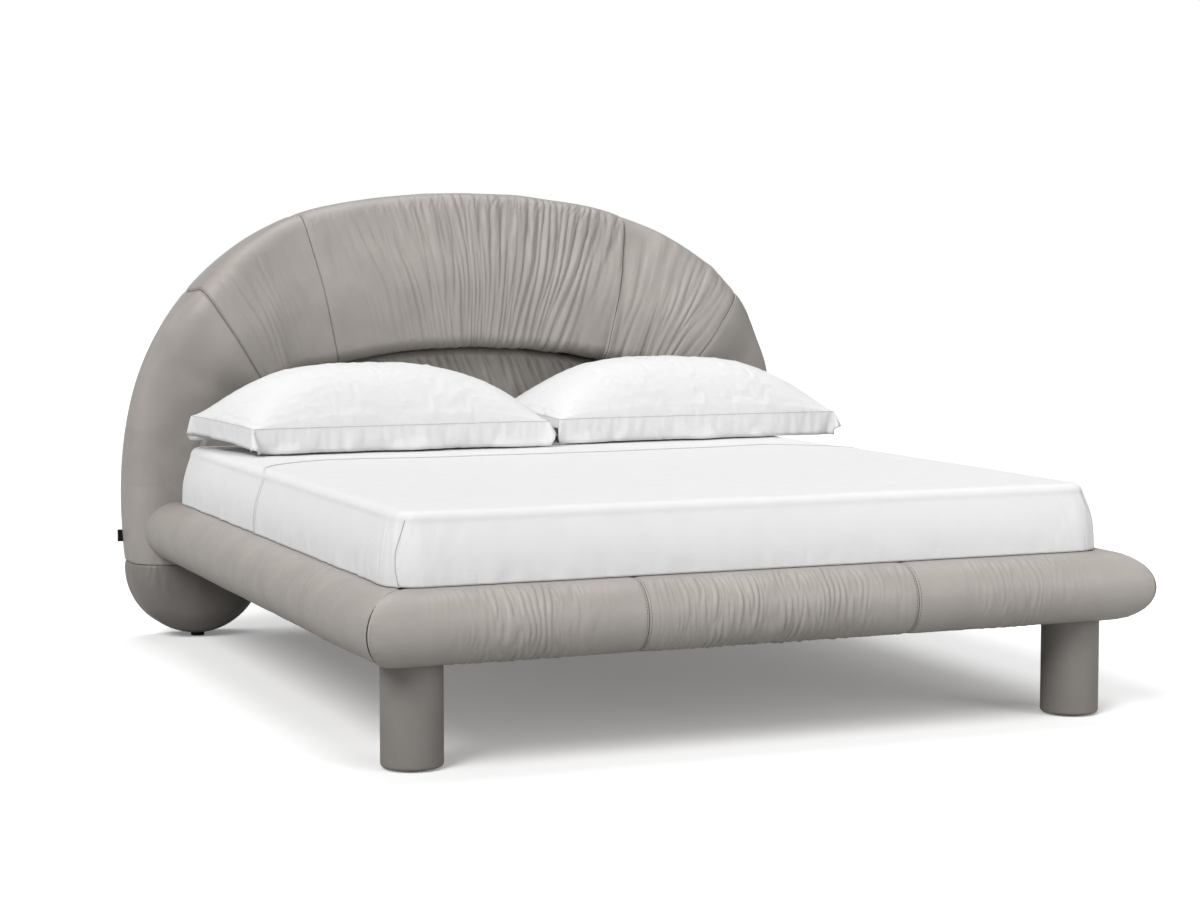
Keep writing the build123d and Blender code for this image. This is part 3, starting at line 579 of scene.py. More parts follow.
def arch_loops(lengths):
    """Loops of the roll at these signed outline lengths, with the girth of each point from the rim."""
    away = np.abs(lengths)
    side = np.where(lengths < 0, -1.0, 1.0)
    inner, depths, shares = [
        monotone(station_lengths, [station[column] for station in arch_stations], away)
        for column in (1, 2, 3)
    ]
    angles = np.interp(away, length_steps, angle_steps)
    loops, girths = [], []
    for index in range(len(lengths)):
        outer = np.array(outline_point(angles[index]))
        foot = inner[index]
        width = float(np.linalg.norm(outer - foot))
        depth = depths[index]
        in_share, place_share, out_share, in_round, middle_round, out_round = shares[index]
        corners = [
            (width - rim_radius, 0),
            (width, 0),
            (width, depth * out_share),
            (width * place_share, depth),
            (0, depth * in_share),
            (0, back_build),
        ]
        radii = (tight_rim, depth * out_round, depth * middle_round, depth * in_round)
        path = rounded_path(corners, radii, path_line_steps, path_arc_steps)
        swell = np.interp(angles[index], swell_angles, swells)
        outward_share = ease(swell_start, 1.0, path[:, 0] / width)
        path[:, 0] += swell * outward_share * np.clip(path[:, 1] / depth, 0, 1) ** swell_power
        hidden = np.array([[width * 0.5, back_build], [width - rim_radius, back_build]])
        steps = np.linalg.norm(np.diff(path, axis=0), axis=1)
        girth = np.concatenate([[0], np.cumsum(steps)])
        path = np.concatenate([path, hidden])
        girth = np.concatenate([girth, [girth[-1]] * 2])
        way = (outer - foot) / width
        flat = foot[None, :] + path[:, :1] * way[None, :]
        loops.append(np.stack([side[index] * flat[:, 0], y_back - path[:, 1], flat[:, 1]], axis=1))
        girths.append(girth)
    return np.array(loops), np.array(girths)


stitch_distance = 0.0055
fine_step = 0.0009


def seam_dip(distance, stitched):
    """How deep the leather is drawn in at this distance from a seam, with or without stitch rows."""

    def groove(depth, width, place):
        return depth * np.exp(-(((distance - place) / width) ** 2))

    dip = groove(0.0032, width=0.0018, place=0) + groove(0.0014, width=0.012, place=0)
    if stitched:
        dip = dip + groove(0.0009, width=0.0012, place=stitch_distance)
    return dip


def spaced(start, end, step):
    """Places from start to end, close together near both ends, where the seams are."""
    reach = 0.013
    near = np.arange(0, reach, fine_step)
    middle = np.linspace(start + reach, end - reach, max(2, int((end - start - 2 * reach) / step)))
    return np.concatenate([start + near, middle, (end - near)[::-1]])


def arch_piece(name, start, end, relief, replaced, stitched):
    """Leather over foam between two seams of the arch.

    relief gives how far each point stands out, from its length along the outline, its girth round
    the roll and its share of that girth; stitched says whether the seam at each end has stitch rows.
    """
    lengths = spaced(start, end, arch_step)
    loops, girths = arch_loops(lengths)
    normals = outward(loops, True)
    spread = np.repeat(lengths[:, None], loops.shape[1], axis=1)
    share = girths / girths[:, -1:]
    front = ease(0.0, 0.1, share) * ease(1.0, 0.93, share)
    dip = seam_dip(spread - start, stitched[0]) + seam_dip(end - spread, stitched[1])
    height = relief(spread, girths, share) * front - dip
    height[:, -2:] = 0
    points = loops + normals * height[..., None]
    piece = tube(name, points)
    dress(piece, leather)
    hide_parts(*replaced)
    return points


def crown_relief(s, w, v):
    strength = 0.3 + 0.7 * ease(-0.42, -0.1, s)
    fade = (1 - 0.6 * ease(0.55, 0.95, v) * ease(0.3, -0.25, s)) * (1 - 0.5 * ease(0.55, 0.95, v))
    lean = s + 0.04 * w * ease(-0.2, 0.42, s)
    folds = pleats(lean, w, width=0.034, length=0.5, seed=11) * ease(0.12, 0.32, v)
    near_rim = pleats(s + 0.25 * w, w, width=0.021, length=0.1, seed=21)
    near_rim = near_rim * ease(0.14, 0.24, v) * ease(0.5, 0.3, v)
    broad = ripple(s / 0.11, w / 0.34, 15)
    return (0.0155 * folds * fade + 0.0065 * near_rim) * strength + 0.002 * broad - 0.002


def left_shoulder_relief(s, w, v):
    folds = pleats(s - 0.1 * w, w, width=0.045, length=0.4, seed=31)
    folds = folds * (0.25 + 0.75 * ease(-0.62, -0.84, s))
    return 0.005 * folds * ease(0.2, 0.4, v) + 0.0025 * ripple(s / 0.12, w / 0.35, 33) - 0.001


def right_shoulder_relief(s, w, v):
    fade = ease(stitched_seam_length - 0.01, stitched_seam_length - 0.13, s + 0.12 * (v - 0.5))
    folds = pleats(s + 0.14 * w, w, width=0.036, length=0.4, seed=41) * ease(0.2, 0.36, v)
    return 0.0115 * folds * (0.1 + 0.9 * fade) + 0.002 * ripple(s / 0.12, w / 0.3, 43) - 0.002


def side_relief(s, w, v):
    away = np.abs(s)
    seed = 51 if s.mean() < 0 else 61
    low = ease(1.28, 1.42, away) * ease(0.2, 0.5, v)
    puckers = pleats(w + 0.4 * away, away, width=0.03, length=0.14, seed=seed + 2)
    return 0.0022 * ripple(away / 0.2, w / 0.28, seed) + 0.0035 * puckers * low - 0.001


crown_points = arch_piece(
    "leather_crown", -plain_seam_length, plain_seam_length,
    crown_relief, ("crown_cover", "crown_foam"), (False, False),
)
left_shoulder_points = arch_piece(
    "leather_shoulder_left", -left_seam_length, -plain_seam_length,
    left_shoulder_relief, ("shoulder_cover_left", "shoulder_foam_left"), (True, False),
)
right_shoulder_points = arch_piece(
    "leather_shoulder_right", plain_seam_length, stitched_seam_length,
    right_shoulder_relief, ("shoulder_cover_right", "shoulder_foam_right"), (False, True),
)
left_side_points = arch_piece(
    "leather_side_left", -lobe_seam_length, -left_seam_length,
    side_relief, ("side_cover_left", "side_foam_left"), (False, True),
)
right_side_points = arch_piece(
    "leather_side_right", stitched_seam_length, lobe_seam_length,
    side_relief, ("side_cover_right", "side_foam_right"), (True, False),
)


# Lobes below the cross seam
def lobe_piece(side):
    neck = lobe_seam_height - lobe_centre_height
    _, _, out_share, _, middle_round, out_round = low_shares
    from_axis, front_share = 0.002, 0.998
    half_turn_steps, neck_count, arc_steps = 180, 8, 40
    side_depth, side_round = low_depth * out_share, low_depth * out_round
    corners = [
        (lobe_radius - rim_radius, 0),
        (lobe_radius, 0),
        (lobe_radius, side_depth),
        (0, low_depth),
        (-lobe_radius, side_depth),
        (-lobe_radius, 0),
    ]
    radii = (tight_rim, side_round, low_depth * middle_round, side_round)
    path = rounded_path(corners, radii, path_line_steps, arc_steps)
    path = path[path[:, 0] > from_axis]
    behind = [(from_axis, back_build), (lobe_radius - rim_radius, back_build)]
    path = np.concatenate([behind, path, [(0.0, low_depth * front_share)]])
    steps = np.concatenate([[0], np.cumsum(np.linalg.norm(np.diff(path, axis=0), axis=1))])
    turns = np.linspace(0, math.pi, half_turn_steps)
    rows = []
    neck_steps = np.linspace(1, 0, neck_count)[:-1]
    ways = [(1.0, 0.0, neck * share) for share in neck_steps]
    ways += [(math.cos(turn), -math.sin(turn), 0.0) for turn in turns]
    ways += [(-1.0, 0.0, neck * share) for share in neck_steps[::-1]]
    for way_x, way_z, lift in ways:
        x = lobe_centre_x + path[:, 0] * way_x
        z = lobe_centre_height + lift + path[:, 0] * way_z
        rows.append(np.stack([side * x, y_back - path[:, 1], z], axis=1))
    points = np.array(rows)
    normals = grid_normals(points, False)
    centre = np.array([side * lobe_centre_x, y_back - low_depth * 0.4, lobe_centre_height])
    if (normals * (points - centre)).sum() < 0:
        normals = -normals
    run = np.concatenate([[0], np.cumsum(np.linalg.norm(np.diff(points[:, 3], axis=0), axis=1))])
    along = np.repeat(run[:, None], points.shape[1], axis=1)
    below = lobe_seam_height - points[..., 2]
    share = steps / steps[-1]
    front = ease(0.42, 0.5, share)[None, :]
    across = points[..., 0] * side + 0.3 * points[..., 1]
    folds = pleats(across, below, width=0.02, length=0.12, seed=71 + int(side))
    near_seam = ease(0.13, 0.01, below)
    height = 0.0025 * folds * near_seam + 0.0015 * ripple(along / 0.12, points[..., 1] / 0.09, 75)
    height = (height - 0.001) * front
    height -= seam_dip(below, False) * ease(0.3, 0.42, share)[None, :]
    points = points + normals * height[..., None]
    word = "right" if side > 0 else "left"
    piece = new_object(f"leather_lobe_{word}", points, grid_faces(*points.shape[:2], False))
    bm = bmesh.new()
    bm.from_mesh(piece.data)
    bmesh.ops.remove_doubles(bm, verts=bm.verts[:], dist=0.0002)
    bmesh.ops.holes_fill(bm, edges=[edge for edge in bm.edges if edge.is_boundary], sides=0)
    bmesh.ops.recalc_face_normals(bm, faces=bm.faces[:])
    bm.to_mesh(piece.data)
    bm.free()
    piece.data.shade_smooth()
    # Painted shade: the lobes take the darker leather for the shade they sit in under the rail
    dress(piece, shaded_low_leather)
    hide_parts(f"lobe_cover_{word}")


lobe_piece(1.0)
lobe_piece(-1.0)


# Recessed panel with slanting gathers
def panel_piece():
    gap, column_count, row_count = 0.002, 520, 180
    y_front = y_back - panel_depth
    columns = np.linspace(-panel_half_width + gap, panel_half_width - gap, column_count)
    away = np.abs(columns)
    low_z = panel_floor_height + gap
    main_top = panel_centre[1] + np.sqrt(panel_radius**2 - away**2)
    corner_rise = np.sqrt(np.maximum(panel_corner_radius**2 - (away - panel_corner_centre[0]) ** 2, 0))
    corner_top = panel_corner_centre[1] + corner_rise
    corner_start = on_arc(panel_centre, panel_radius, panel_corner_angle)[0]
    top = np.where(away < corner_start, main_top, corner_top) - gap
    shares = np.linspace(0, 1, row_count)
    x = np.repeat(columns[:, None], len(shares), axis=1)
    z = low_z + (top - low_z)[:, None] * shares[None, :]
    from_edge = np.minimum(np.minimum(top[:, None] - z, z - low_z), panel_half_width - gap - np.abs(x))
    inside = np.clip(panel_edge_radius - from_edge, 0, panel_edge_radius)
    round_back = panel_edge_radius - np.sqrt(np.maximum(panel_edge_radius**2 - inside**2, 0))
    fold_height, wave_height, fold_base = 0.016, 0.0025, 0.0035
    folds = pleats(x + 0.45 * z, z, width=0.03, length=0.3, seed=81)
    waves = ripple(x / 0.12, z / 0.16, 83)
    height = (fold_height * folds + wave_height * waves) * ease(0, 0.03, from_edge)
    y = y_front + fold_base + round_back - height
    front = np.stack([x, y, z], axis=2)
    back = np.stack([x, np.full_like(x, y_back - back_build), z], axis=2)
    faces = grid_faces(*x.shape, False) + grid_faces(*x.shape, False, x.size, True)
    rim = boundary(*x.shape)
    for here, there in zip(rim, np.roll(rim, -1)):
        faces.append([int(here), int(here + x.size), int(there + x.size), int(there)])
    piece = new_object("leather_panel", np.concatenate([front.reshape(-1, 3), back.reshape(-1, 3)]), faces)
    face_outward(piece)
    dress(piece, leather)
    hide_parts("panel_cover", "panel_foam")


panel_piece()


# Rails
rail_middle = rail_floor_height + rail_height / 2
rail_round_place = rail_width - rail_height / 2
middle_reach = 0.06


def rail_loop():
    """Closed D-shaped section as (distance from the inner side, height), and its girth."""
    half, corner = rail_height / 2, rail_inner_radius
    quarter = np.linspace(0, math.pi / 2, 9)
    round_turns = np.linspace(math.pi / 2, -math.pi / 2, 97)
    flat = np.linspace(corner, rail_round_place, 8)[1:-1]
    upright = np.linspace(corner - half, half - corner, 12)[1:-1]
    parts = (
        (corner - corner * np.cos(quarter), half - corner + corner * np.sin(quarter)),
        (flat, np.full_like(flat, half)),
        (rail_round_place + half * np.cos(round_turns), half * np.sin(round_turns)),
        (flat[::-1], np.full_like(flat, -half)),
        (corner - corner * np.sin(quarter), corner - half - corner * np.cos(quarter)),
        (np.zeros_like(upright), upright),
    )
    loop = np.concatenate([np.stack([across, rail_middle + up], axis=1) for across, up in parts])
    steps = np.linalg.norm(np.diff(loop, axis=0), axis=1)
    return loop, np.concatenate([[0], np.cumsum(steps)])


rail_section, rail_girth = rail_loop()


def rail_points(shares, start, end, across):
    """Grid of a rail from start to end, which may differ with the distance from the inner side."""
    reach = rail_section[None, :, 0]
    run = start(reach) + (end(reach) - start(reach)) * shares[:, None]
    height = np.repeat(rail_section[None, :, 1], len(shares), axis=0)
    return across(run, np.repeat(reach, len(shares), axis=0), height), run


def rail_piece(name, start, end, across, relief, replaced, stitched):
    """Leather over a rail; stitched says for each end whether it is a stitched, plain or no seam."""
    length = float(np.abs(end(middle_reach) - start(middle_reach)))
    points, run = rail_points(spaced(0, length, rail_step) / length, start, end, across)
    normals = outward(points, True)
    reach = np.repeat(rail_section[None, :, 0], points.shape[0], axis=0)
    girth = np.repeat(rail_girth[None, :], points.shape[0], axis=0)
    from_start = np.abs(run - start(reach))
    from_end = np.abs(run - end(reach))
    outer = ease(0.03, 0.06, reach)
    height = relief(run, girth) * outer
    for distance, seam in ((from_start, stitched[0]), (from_end, stitched[1])):
        if seam != "none":
            height = height * ease(0, 0.02, distance) - seam_dip(distance, seam == "stitched")
        if seam == "plain":
            pucker = pleats(girth, distance, width=0.012, length=0.06, seed=91)
            height += 0.0016 * (pucker - 0.4) * ease(0.035, 0.004, distance) * outer
    points = points + normals * height[..., None]
    piece = tube(name, points)
    dress(piece, leather)
    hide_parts(*replaced)
    return points


rail_bite = 0.03
rail_ring_places = (0.92, 1.06, 1.22)
rail_ring_width = 0.0035


def side_rail(side):
    word = "right" if side > 0 else "left"
    seed = 101 if side > 0 else 111

    def across(run, reach, height):
        return np.stack([side * (frame_inner + reach), run, height], axis=2)

    def relief(run, girth):
        from_foot = run - y_foot
        creases = pleats(run + 0.04 * girth, girth, width=0.016, length=0.16, seed=seed)
        near = ease(1.3, 0.9, from_foot) * ease(0.16, 0.34, from_foot)
        rings = sum(np.exp(-(((from_foot - place) / rail_ring_width) ** 2)) for place in rail_ring_places)
        return (
            0.0034 * (creases - 0.4) * (0.08 + 0.92 * near)
            - 0.0008 * rings
            + 0.0018 * ripple(run / 0.3, girth / 0.15, seed + 4)
        )

    rail_piece(
        f"leather_side_rail_{word}",
        lambda reach: y_foot_inner - reach,
        lambda reach: y_low_front + rail_bite + 0 * reach,
        across,
        relief,
        (f"side_rail_cover_{word}", f"side_rail_foam_{word}"),
        ("plain", "none"),
    )


side_rail(1.0)
side_rail(-1.0)


def foot_across(run, reach, height):
    return np.stack([run, y_foot_inner - reach, height], axis=2)


def foot_centre_relief(run, girth):
    folds = pleats(run + 0.06 * girth, girth, width=0.015, length=0.13, seed=121)
    strength = 0.3 + 0.7 * ease(0.95, 0.25, np.abs(run + 0.02) / foot_seam_place)
    return 0.009 * (folds - 0.35) * strength


def foot_end_relief(run, girth):
    folds = pleats(run + 0.05 * girth, girth, width=0.016, length=0.12, seed=125)
    middle = np.exp(-(((np.abs(run) - 0.64) / 0.13) ** 2)) * np.where(run < 0, 1, 0.55)
    broad = ripple(run / 0.2, girth / 0.12, 127)
    return 0.0075 * (folds - 0.35) * (0.06 + 0.94 * middle) + 0.0012 * broad


foot_centre_points = rail_piece(
    "leather_foot_rail_centre", lambda reach: -foot_seam_place + 0 * reach,
    lambda reach: foot_seam_place + 0 * reach, foot_across, foot_centre_relief,
    ("foot_rail_cover_centre", "foot_rail_foam"), ("stitched", "stitched"),
)
foot_left_points = rail_piece(
    "leather_foot_rail_left", lambda reach: -frame_inner - reach,
    lambda reach: -foot_seam_place + 0 * reach, foot_across, foot_end_relief,
    ("foot_rail_cover_left",), ("plain", "stitched"),
)
foot_right_points = rail_piece(
    "leather_foot_rail_right", lambda reach: foot_seam_place + 0 * reach,
    lambda reach: frame_inner + reach, foot_across, foot_end_relief,
    ("foot_rail_cover_right",), ("stitched", "plain"),
)


# Seams: rows of short stitches beside a seam, and a dark line of painted shade in each seam's groove
stitch_length, stitch_gap, stitch_radius, stitch_sides = 0.006, 0.0018, 0.0008, 5
seam_radius, corner_seam_radius, seam_sides = 0.0007, 0.0016, 6


def stitch_rows(name, lines):
    """Short rounded threads laid along lines of points, each line a list of surface points."""
    verts, faces = [], []
    end_share = 0.35
    slanted = (0.3, 0.5, 0.81)
    for line in lines:
        line = np.asarray(line)
        steps = np.linalg.norm(np.diff(line, axis=0), axis=1)
        run = np.concatenate([[0], np.cumsum(steps)])
        place = stitch_gap
        while place + stitch_length < run[-1]:
            ends = [
                np.array([np.interp(place + stitch_length * share, run, line[:, axis]) for axis in range(3)])
                for share in (0, 0.25, 0.75, 1)
            ]
            way = ends[-1] - ends[0]
            way /= np.linalg.norm(way)
            side = np.cross(way, slanted)
            side /= np.linalg.norm(side)
            up = np.cross(side, way)
            first = len(verts)
            for point, share in zip(ends, (end_share, 1, 1, end_share)):
                for turn in np.linspace(0, 2 * math.pi, stitch_sides, endpoint=False):
                    away = side * math.cos(turn) + up * math.sin(turn)
                    verts.append(point + away * stitch_radius * share)
            faces += grid_faces(len(ends), stitch_sides, True, first)
            faces.append(list(range(first, first + stitch_sides))[::-1])
            faces.append(list(range(len(verts) - stitch_sides, len(verts))))
            place += stitch_length + stitch_gap
    piece = new_object(name, np.array(verts), faces)
    face_outward(piece)
    dress(piece, thread)


def seam_line(name, points, radius, material, body):
    """Thin tube along a seam or a row of stitches; with thread it is a stitch line, with the seam shadow
    material a dark line of painted shade.
    """
    points = np.asarray(points)
    way = np.gradient(points, axis=0)
    way /= np.linalg.norm(way, axis=1, keepdims=True)
    slanted = (0.31, 0.52, 0.79)
    side = np.cross(way, slanted)
    side /= np.linalg.norm(side, axis=1, keepdims=True)
    up = np.cross(side, way)
    turns = np.linspace(0, 2 * np.pi, seam_sides, endpoint=False)
    ring = np.cos(turns)[None, :, None] * side[:, None, :] + np.sin(turns)[None, :, None] * up[:, None, :]
    dress(tube(name, points[:, None, :] + ring * radius), material, body)


# Points of a loop that lie in the open, from the rim's front round to the inner side
arch_visible = slice(6, -22)
rail_visible = slice(14, 115)
fine_rows = int(round(stitch_distance / fine_step))

for name, before, after, visible in (
    ("stitches_headboard_left", left_side_points, left_shoulder_points, arch_visible),
    ("stitches_headboard_right", right_shoulder_points, right_side_points, arch_visible),
    ("stitches_foot_rail_left", foot_left_points, foot_centre_points, rail_visible),
    ("stitches_foot_rail_right", foot_centre_points, foot_right_points, rail_visible),
):
    stitch_rows(name, [before[-1 - fine_rows][visible], after[fine_rows][visible]])
# Dark lines of painted shade laid along the grooves of the seams
for name, loop, visible, radius in (
    ("seam_shadow_crown_left", crown_points[0], arch_visible, seam_radius),
    ("seam_shadow_crown_right", crown_points[-1], arch_visible, seam_radius),
    ("seam_shadow_shoulder_left", left_shoulder_points[0], arch_visible, seam_radius),
    ("seam_shadow_shoulder_right", right_shoulder_points[-1], arch_visible, seam_radius),
    ("seam_shadow_lobe_left", left_side_points[0], arch_visible, seam_radius),
    ("seam_shadow_lobe_right", right_side_points[-1], arch_visible, seam_radius),
    ("seam_shadow_foot_left", foot_centre_points[0], rail_visible, seam_radius),
    ("seam_shadow_foot_right", foot_centre_points[-1], rail_visible, seam_radius),
    ("seam_shadow_corner_left", foot_left_points[0], rail_visible, corner_seam_radius),
    ("seam_shadow_corner_right", foot_right_points[-1], rail_visible, corner_seam_radius),
):
    seam_line(name, loop[visible], radius, seam_shadow, "frame")


# Bedding
foot_gap = 0.011
y_mattress_foot = y_foot_inner + foot_gap
mattress_length = 2.0
mattress_width = 1.8
mattress_floor = 0.33
mattress_top = 0.576
y_mattress_head = y_mattress_foot + mattress_length
rail_top = rail_floor_height + rail_height
sheet_edge_radius = 0.023
sheet_corner_radius = 0.05
side_bulge = 0.009
sheet_flare = 0.028
hem_height = rail_top + 0.0015
cloth_thickness = 0.0016
sheet_step = 0.008
corner_columns = 25
run_step_share = 0.6


def sheet_rim(x_count, y_count, closed):
    """Grid places round the flat top of a sheet and the way it leaves each; closed adds the head end."""
    last_x, last_y = x_count - 1, y_count - 1
    quarter = np.linspace(0, math.pi / 2, corner_columns)[1:-1]

    def corner(place, first_turn):
        return [(place, (math.cos(turn), math.sin(turn))) for turn in quarter + first_turn]

    rim = [((0, j), (-1, 0)) for j in range(last_y, -1, -1)] + corner((0, 0), math.pi)
    rim += [((i, 0), (0, -1)) for i in range(last_x + 1)] + corner((last_x, 0), 1.5 * math.pi)
    rim += [((last_x, j), (1, 0)) for j in range(last_y + 1)]
    if closed:
        rim += corner((last_x, last_y), 0)
        rim += [((i, last_y), (0, 1)) for i in range(last_x, -1, -1)] + corner((0, last_y), math.pi / 2)
    return [np.array(column) for column in zip(*rim)]


def drape(name, grow, relief, hem=None):
    """Sheet laid over the mattress: flat on top, over a rounded edge and down the sides.

    hem gives the y its head edge lies at for each x; without one it hangs down at the head too.
    """
    half_x = mattress_width / 2 + grow
    y_low, y_high = y_mattress_foot - grow, y_mattress_head + grow
    top_z = mattress_top + grow
    edge = sheet_edge_radius
    core_x = half_x - sheet_corner_radius
    core_low, core_high = y_low + sheet_corner_radius, y_high - sheet_corner_radius
    xs = np.linspace(-core_x, core_x, int(2 * core_x / sheet_step) + 1)
    ys = np.linspace(core_low, core_high, int((core_high - core_low) / sheet_step) + 1)
    places, ways = sheet_rim(len(xs), len(ys), hem is None)
    starts = np.stack([xs[places[:, 0]], ys[places[:, 1]]], axis=1)
    index = places[:, 0] * len(ys) + places[:, 1]

    # Each line leaves the flat top over the rounded edge and falls to the hem with some flare
    side_drop = top_z - edge - hem_height
    flat_run = sheet_corner_radius - edge
    arc_run = edge * math.pi / 2
    drop_run = math.hypot(side_drop, sheet_flare)
    full_run = flat_run + arc_run + drop_run
    runs = np.linspace(0, full_run, int(full_run / (sheet_step * run_step_share)) + 1)
    turn = np.clip((runs - flat_run) / edge, 0, math.pi / 2)
    fall = np.clip(runs - flat_run - arc_run, 0, None)
    out = np.minimum(runs, flat_run) + edge * np.sin(turn)
    down = edge * (1 - np.cos(turn)) + fall * side_drop / drop_run
    swell = fall * sheet_flare / drop_run + side_bulge * np.sin(math.pi * fall / drop_run)
    away_from_head = 1 - np.clip(ways[:, 1], 0, 1)
    reach = out[:, None] + swell[:, None] * away_from_head[None, :]
    ring = np.empty((len(runs), len(starts), 3))
    ring[..., :2] = starts + reach[..., None] * ways
    ring[..., 2] = top_z - down[:, None]
    top_grid = np.full((len(xs), len(ys), 3), top_z)
    top_grid[..., 0] = xs[:, None]
    top_grid[..., 1] = ys[None, :]
    if hem is not None:
        for points in (ring, top_grid):
            past = points[..., 1] - core_low
            share = (hem(points[..., 0]) - core_low) / (core_high - core_low)
            points[..., 1] = core_low + past * np.where(past > 0, share, 1)
    hang = np.repeat(runs[:, None], len(starts), axis=1)
    normals = np.empty_like(ring)
    normals[..., :2] = ways * np.sin(turn)[:, None, None]
    normals[..., 2] = np.cos(turn)[:, None]
    ring += normals * relief(ring, hang / full_run, ways)[..., None]
    top_grid[..., 2] += relief(top_grid, np.zeros(top_grid.shape[:2]), None)
    verts = np.concatenate([top_grid.reshape(-1, 3), ring[1:].reshape(-1, 3)])
    faces = grid_faces(len(xs), len(ys), False, 0, True)
    base = len(xs) * len(ys)
    count = len(starts)
    for here in range(count if hem is None else count - 1):
        there = (here + 1) % count
        corners = [index[here], base + here, base + there, index[there]]
        if index[here] == index[there]:
            corners = corners[:3]
        faces.append([int(corner) for corner in corners])
    faces += grid_faces(len(runs) - 1, count, hem is None, base, True)
    piece = new_object(name, verts, faces)
    face_outward(piece)
    thick = piece.modifiers.new("cloth_thickness", "SOLIDIFY")
    thick.thickness = cloth_thickness
    thick.offset = 1
    dress(piece, cotton, "mattress")
    return piece, full_run


def hem_puckers(points, hang, seed):
    """Small gathers that grow towards the hem of a hanging sheet."""
    along = points[..., 0] + points[..., 1]
    low = ease(0.62, 1.0, hang)
    fine, broad = ripple(along / 0.035, hang * 2.0, seed), ripple(along / 0.11, hang * 1.2, seed + 1)
    return 0.0022 * fine * low + 0.003 * broad * low


def fold_place(hang):
    """Where the fold lies around the corner: 0 at the side, 1 at the foot end."""
    return 0.72 - 0.1 * np.sin(math.pi * hang)


def corner_fold(points, hang, ways):
    """Crisp fold where the side of the sheet is laid over its foot end, at both foot corners."""
    if ways is None:
        return 0
    x, y = np.abs(points[..., 0]), points[..., 1]
    from_corner = np.hypot(x - mattress_width / 2, y - y_mattress_foot)
    near = ease(0.22, 0.03, from_corner) * ease(0.12, 0.4, hang)
    to_foot = -ways[None, :, 1]
    bow = fold_place(hang)
    wrinkles = 0.003 * (soft_ridges((x + y) / 0.026, hang * 1.4, 149) - 0.5)
    return (0.005 * (0.6 - ease(bow, bow + 0.04, to_foot)) + wrinkles) * near


def fitted_relief(points, hang, _):
    x, y = points[..., 0], points[..., 1]
    return hem_puckers(points, hang, 141) + 0.0014 * ripple(x / 0.35, y / 0.4, 143)


def top_relief(points, hang, ways):
    x, y = points[..., 0], points[..., 1]
    soft = 0.0016 * ripple(x / 0.3, y / 0.35, 147)
    return hem_puckers(points, hang, 145) + corner_fold(points, hang, ways) + soft


fitted, fitted_run = drape("sheet_fitted", 0.0005, fitted_relief)
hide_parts("fitted_sheet")

top_sheet_length = 1.4
y_hem = y_mattress_foot + top_sheet_length
hem_dip = 0.05
hem_corner = 0.25
hem_corner_power = 1.6


def hem_y(x):
    """Where the hem of the top sheet lies, for a place across the bed."""
    across, straight = np.minimum(np.abs(x), mattress_width / 2), mattress_width / 2 - hem_corner
    past = np.clip((across - straight) / hem_corner, 0, 1)
    dip = hem_dip * (1 - np.clip(across / straight, 0, 1) ** 2)
    return y_hem - dip - hem_corner * (1 - (1 - past**hem_corner_power) ** (1 / hem_corner_power))


top_sheet, top_run = drape("sheet_top", 0.0032, top_relief, hem_y)
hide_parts("top_sheet")


sheet_mesh = top_sheet.data
sheet_tree = BVHTree.FromPolygons(
    [vert.co for vert in sheet_mesh.vertices], [list(face.vertices) for face in sheet_mesh.polygons]
)
row_clear = cloth_thickness + 0.0003
row_low = hem_height + 0.004
fold_row_radius = 0.0011
ray_start = 0.2


def on_sheet(place, way):
    """Where a ray from this place meets the top sheet, a thread's height above the cloth."""
    way = Vector(way)
    return sheet_tree.ray_cast(Vector(place), way)[0] - way * row_clear


def hem_row(name, inset):
    """Row of stitches along the hem of the top sheet, this far inside its edge; the grey of its thread is
    partly painted shade along the sheet's edge and hem.
    """
    half, straight = mattress_width / 2, mattress_width / 2 - hem_corner
    least_step = 0.001

    def from_above(x):
        return on_sheet((x, float(hem_y(x)) - inset, mattress_top + ray_start), (0, 0, -1))

    def half_row(side):
        heights = np.linspace(row_low, mattress_top - sheet_edge_radius, 12)
        start_x, side_y = side * (half + ray_start), float(hem_y(half)) - inset
        row = [on_sheet((start_x, side_y, z), (-side, 0, 0)) for z in heights]
        turns = np.linspace(math.pi / 2, 0, 60)
        return row + [from_above(side * (straight + hem_corner * math.sin(turn))) for turn in turns]

    middle = [from_above(x) for x in np.linspace(straight, -straight, 120)[1:-1]]
    points = np.array(half_row(1) + middle + half_row(-1)[::-1])
    apart = np.linalg.norm(np.diff(points, axis=0), axis=1) > least_step
    points = points[np.concatenate([[True], apart])]
    seam_line(name, points, seam_radius, shaded_cotton_thread, "mattress")


hem_row("hem_edge_row", inset=0.009)
hem_row("hem_turn_row", inset=0.022)


def fold_row(name, side):
    """Grey thread line down the fold of the top sheet at one foot corner: partly a seam, and partly painted
    shade along the edge of the fold.
    """
    centre_x = side * (mattress_width / 2 - sheet_corner_radius)
    centre_y = y_mattress_foot + sheet_corner_radius
    row_high = mattress_top - 0.014
    points = []
    for z in np.linspace(row_high, row_low, 24):
        to_foot = float(fold_place((row_high - z) / (row_high - row_low)))
        out = Vector((side * math.sqrt(1 - to_foot**2), -to_foot, 0))
        points.append(on_sheet(Vector((centre_x, centre_y, z)) + out * ray_start, -out))
    seam_line(name, points, fold_row_radius, shaded_cotton_thread, "mattress")


# Thread lines at both foot corners, partly painted shade along the folds' edges
fold_row("fold_row_left", -1)
fold_row("fold_row_right", 1)


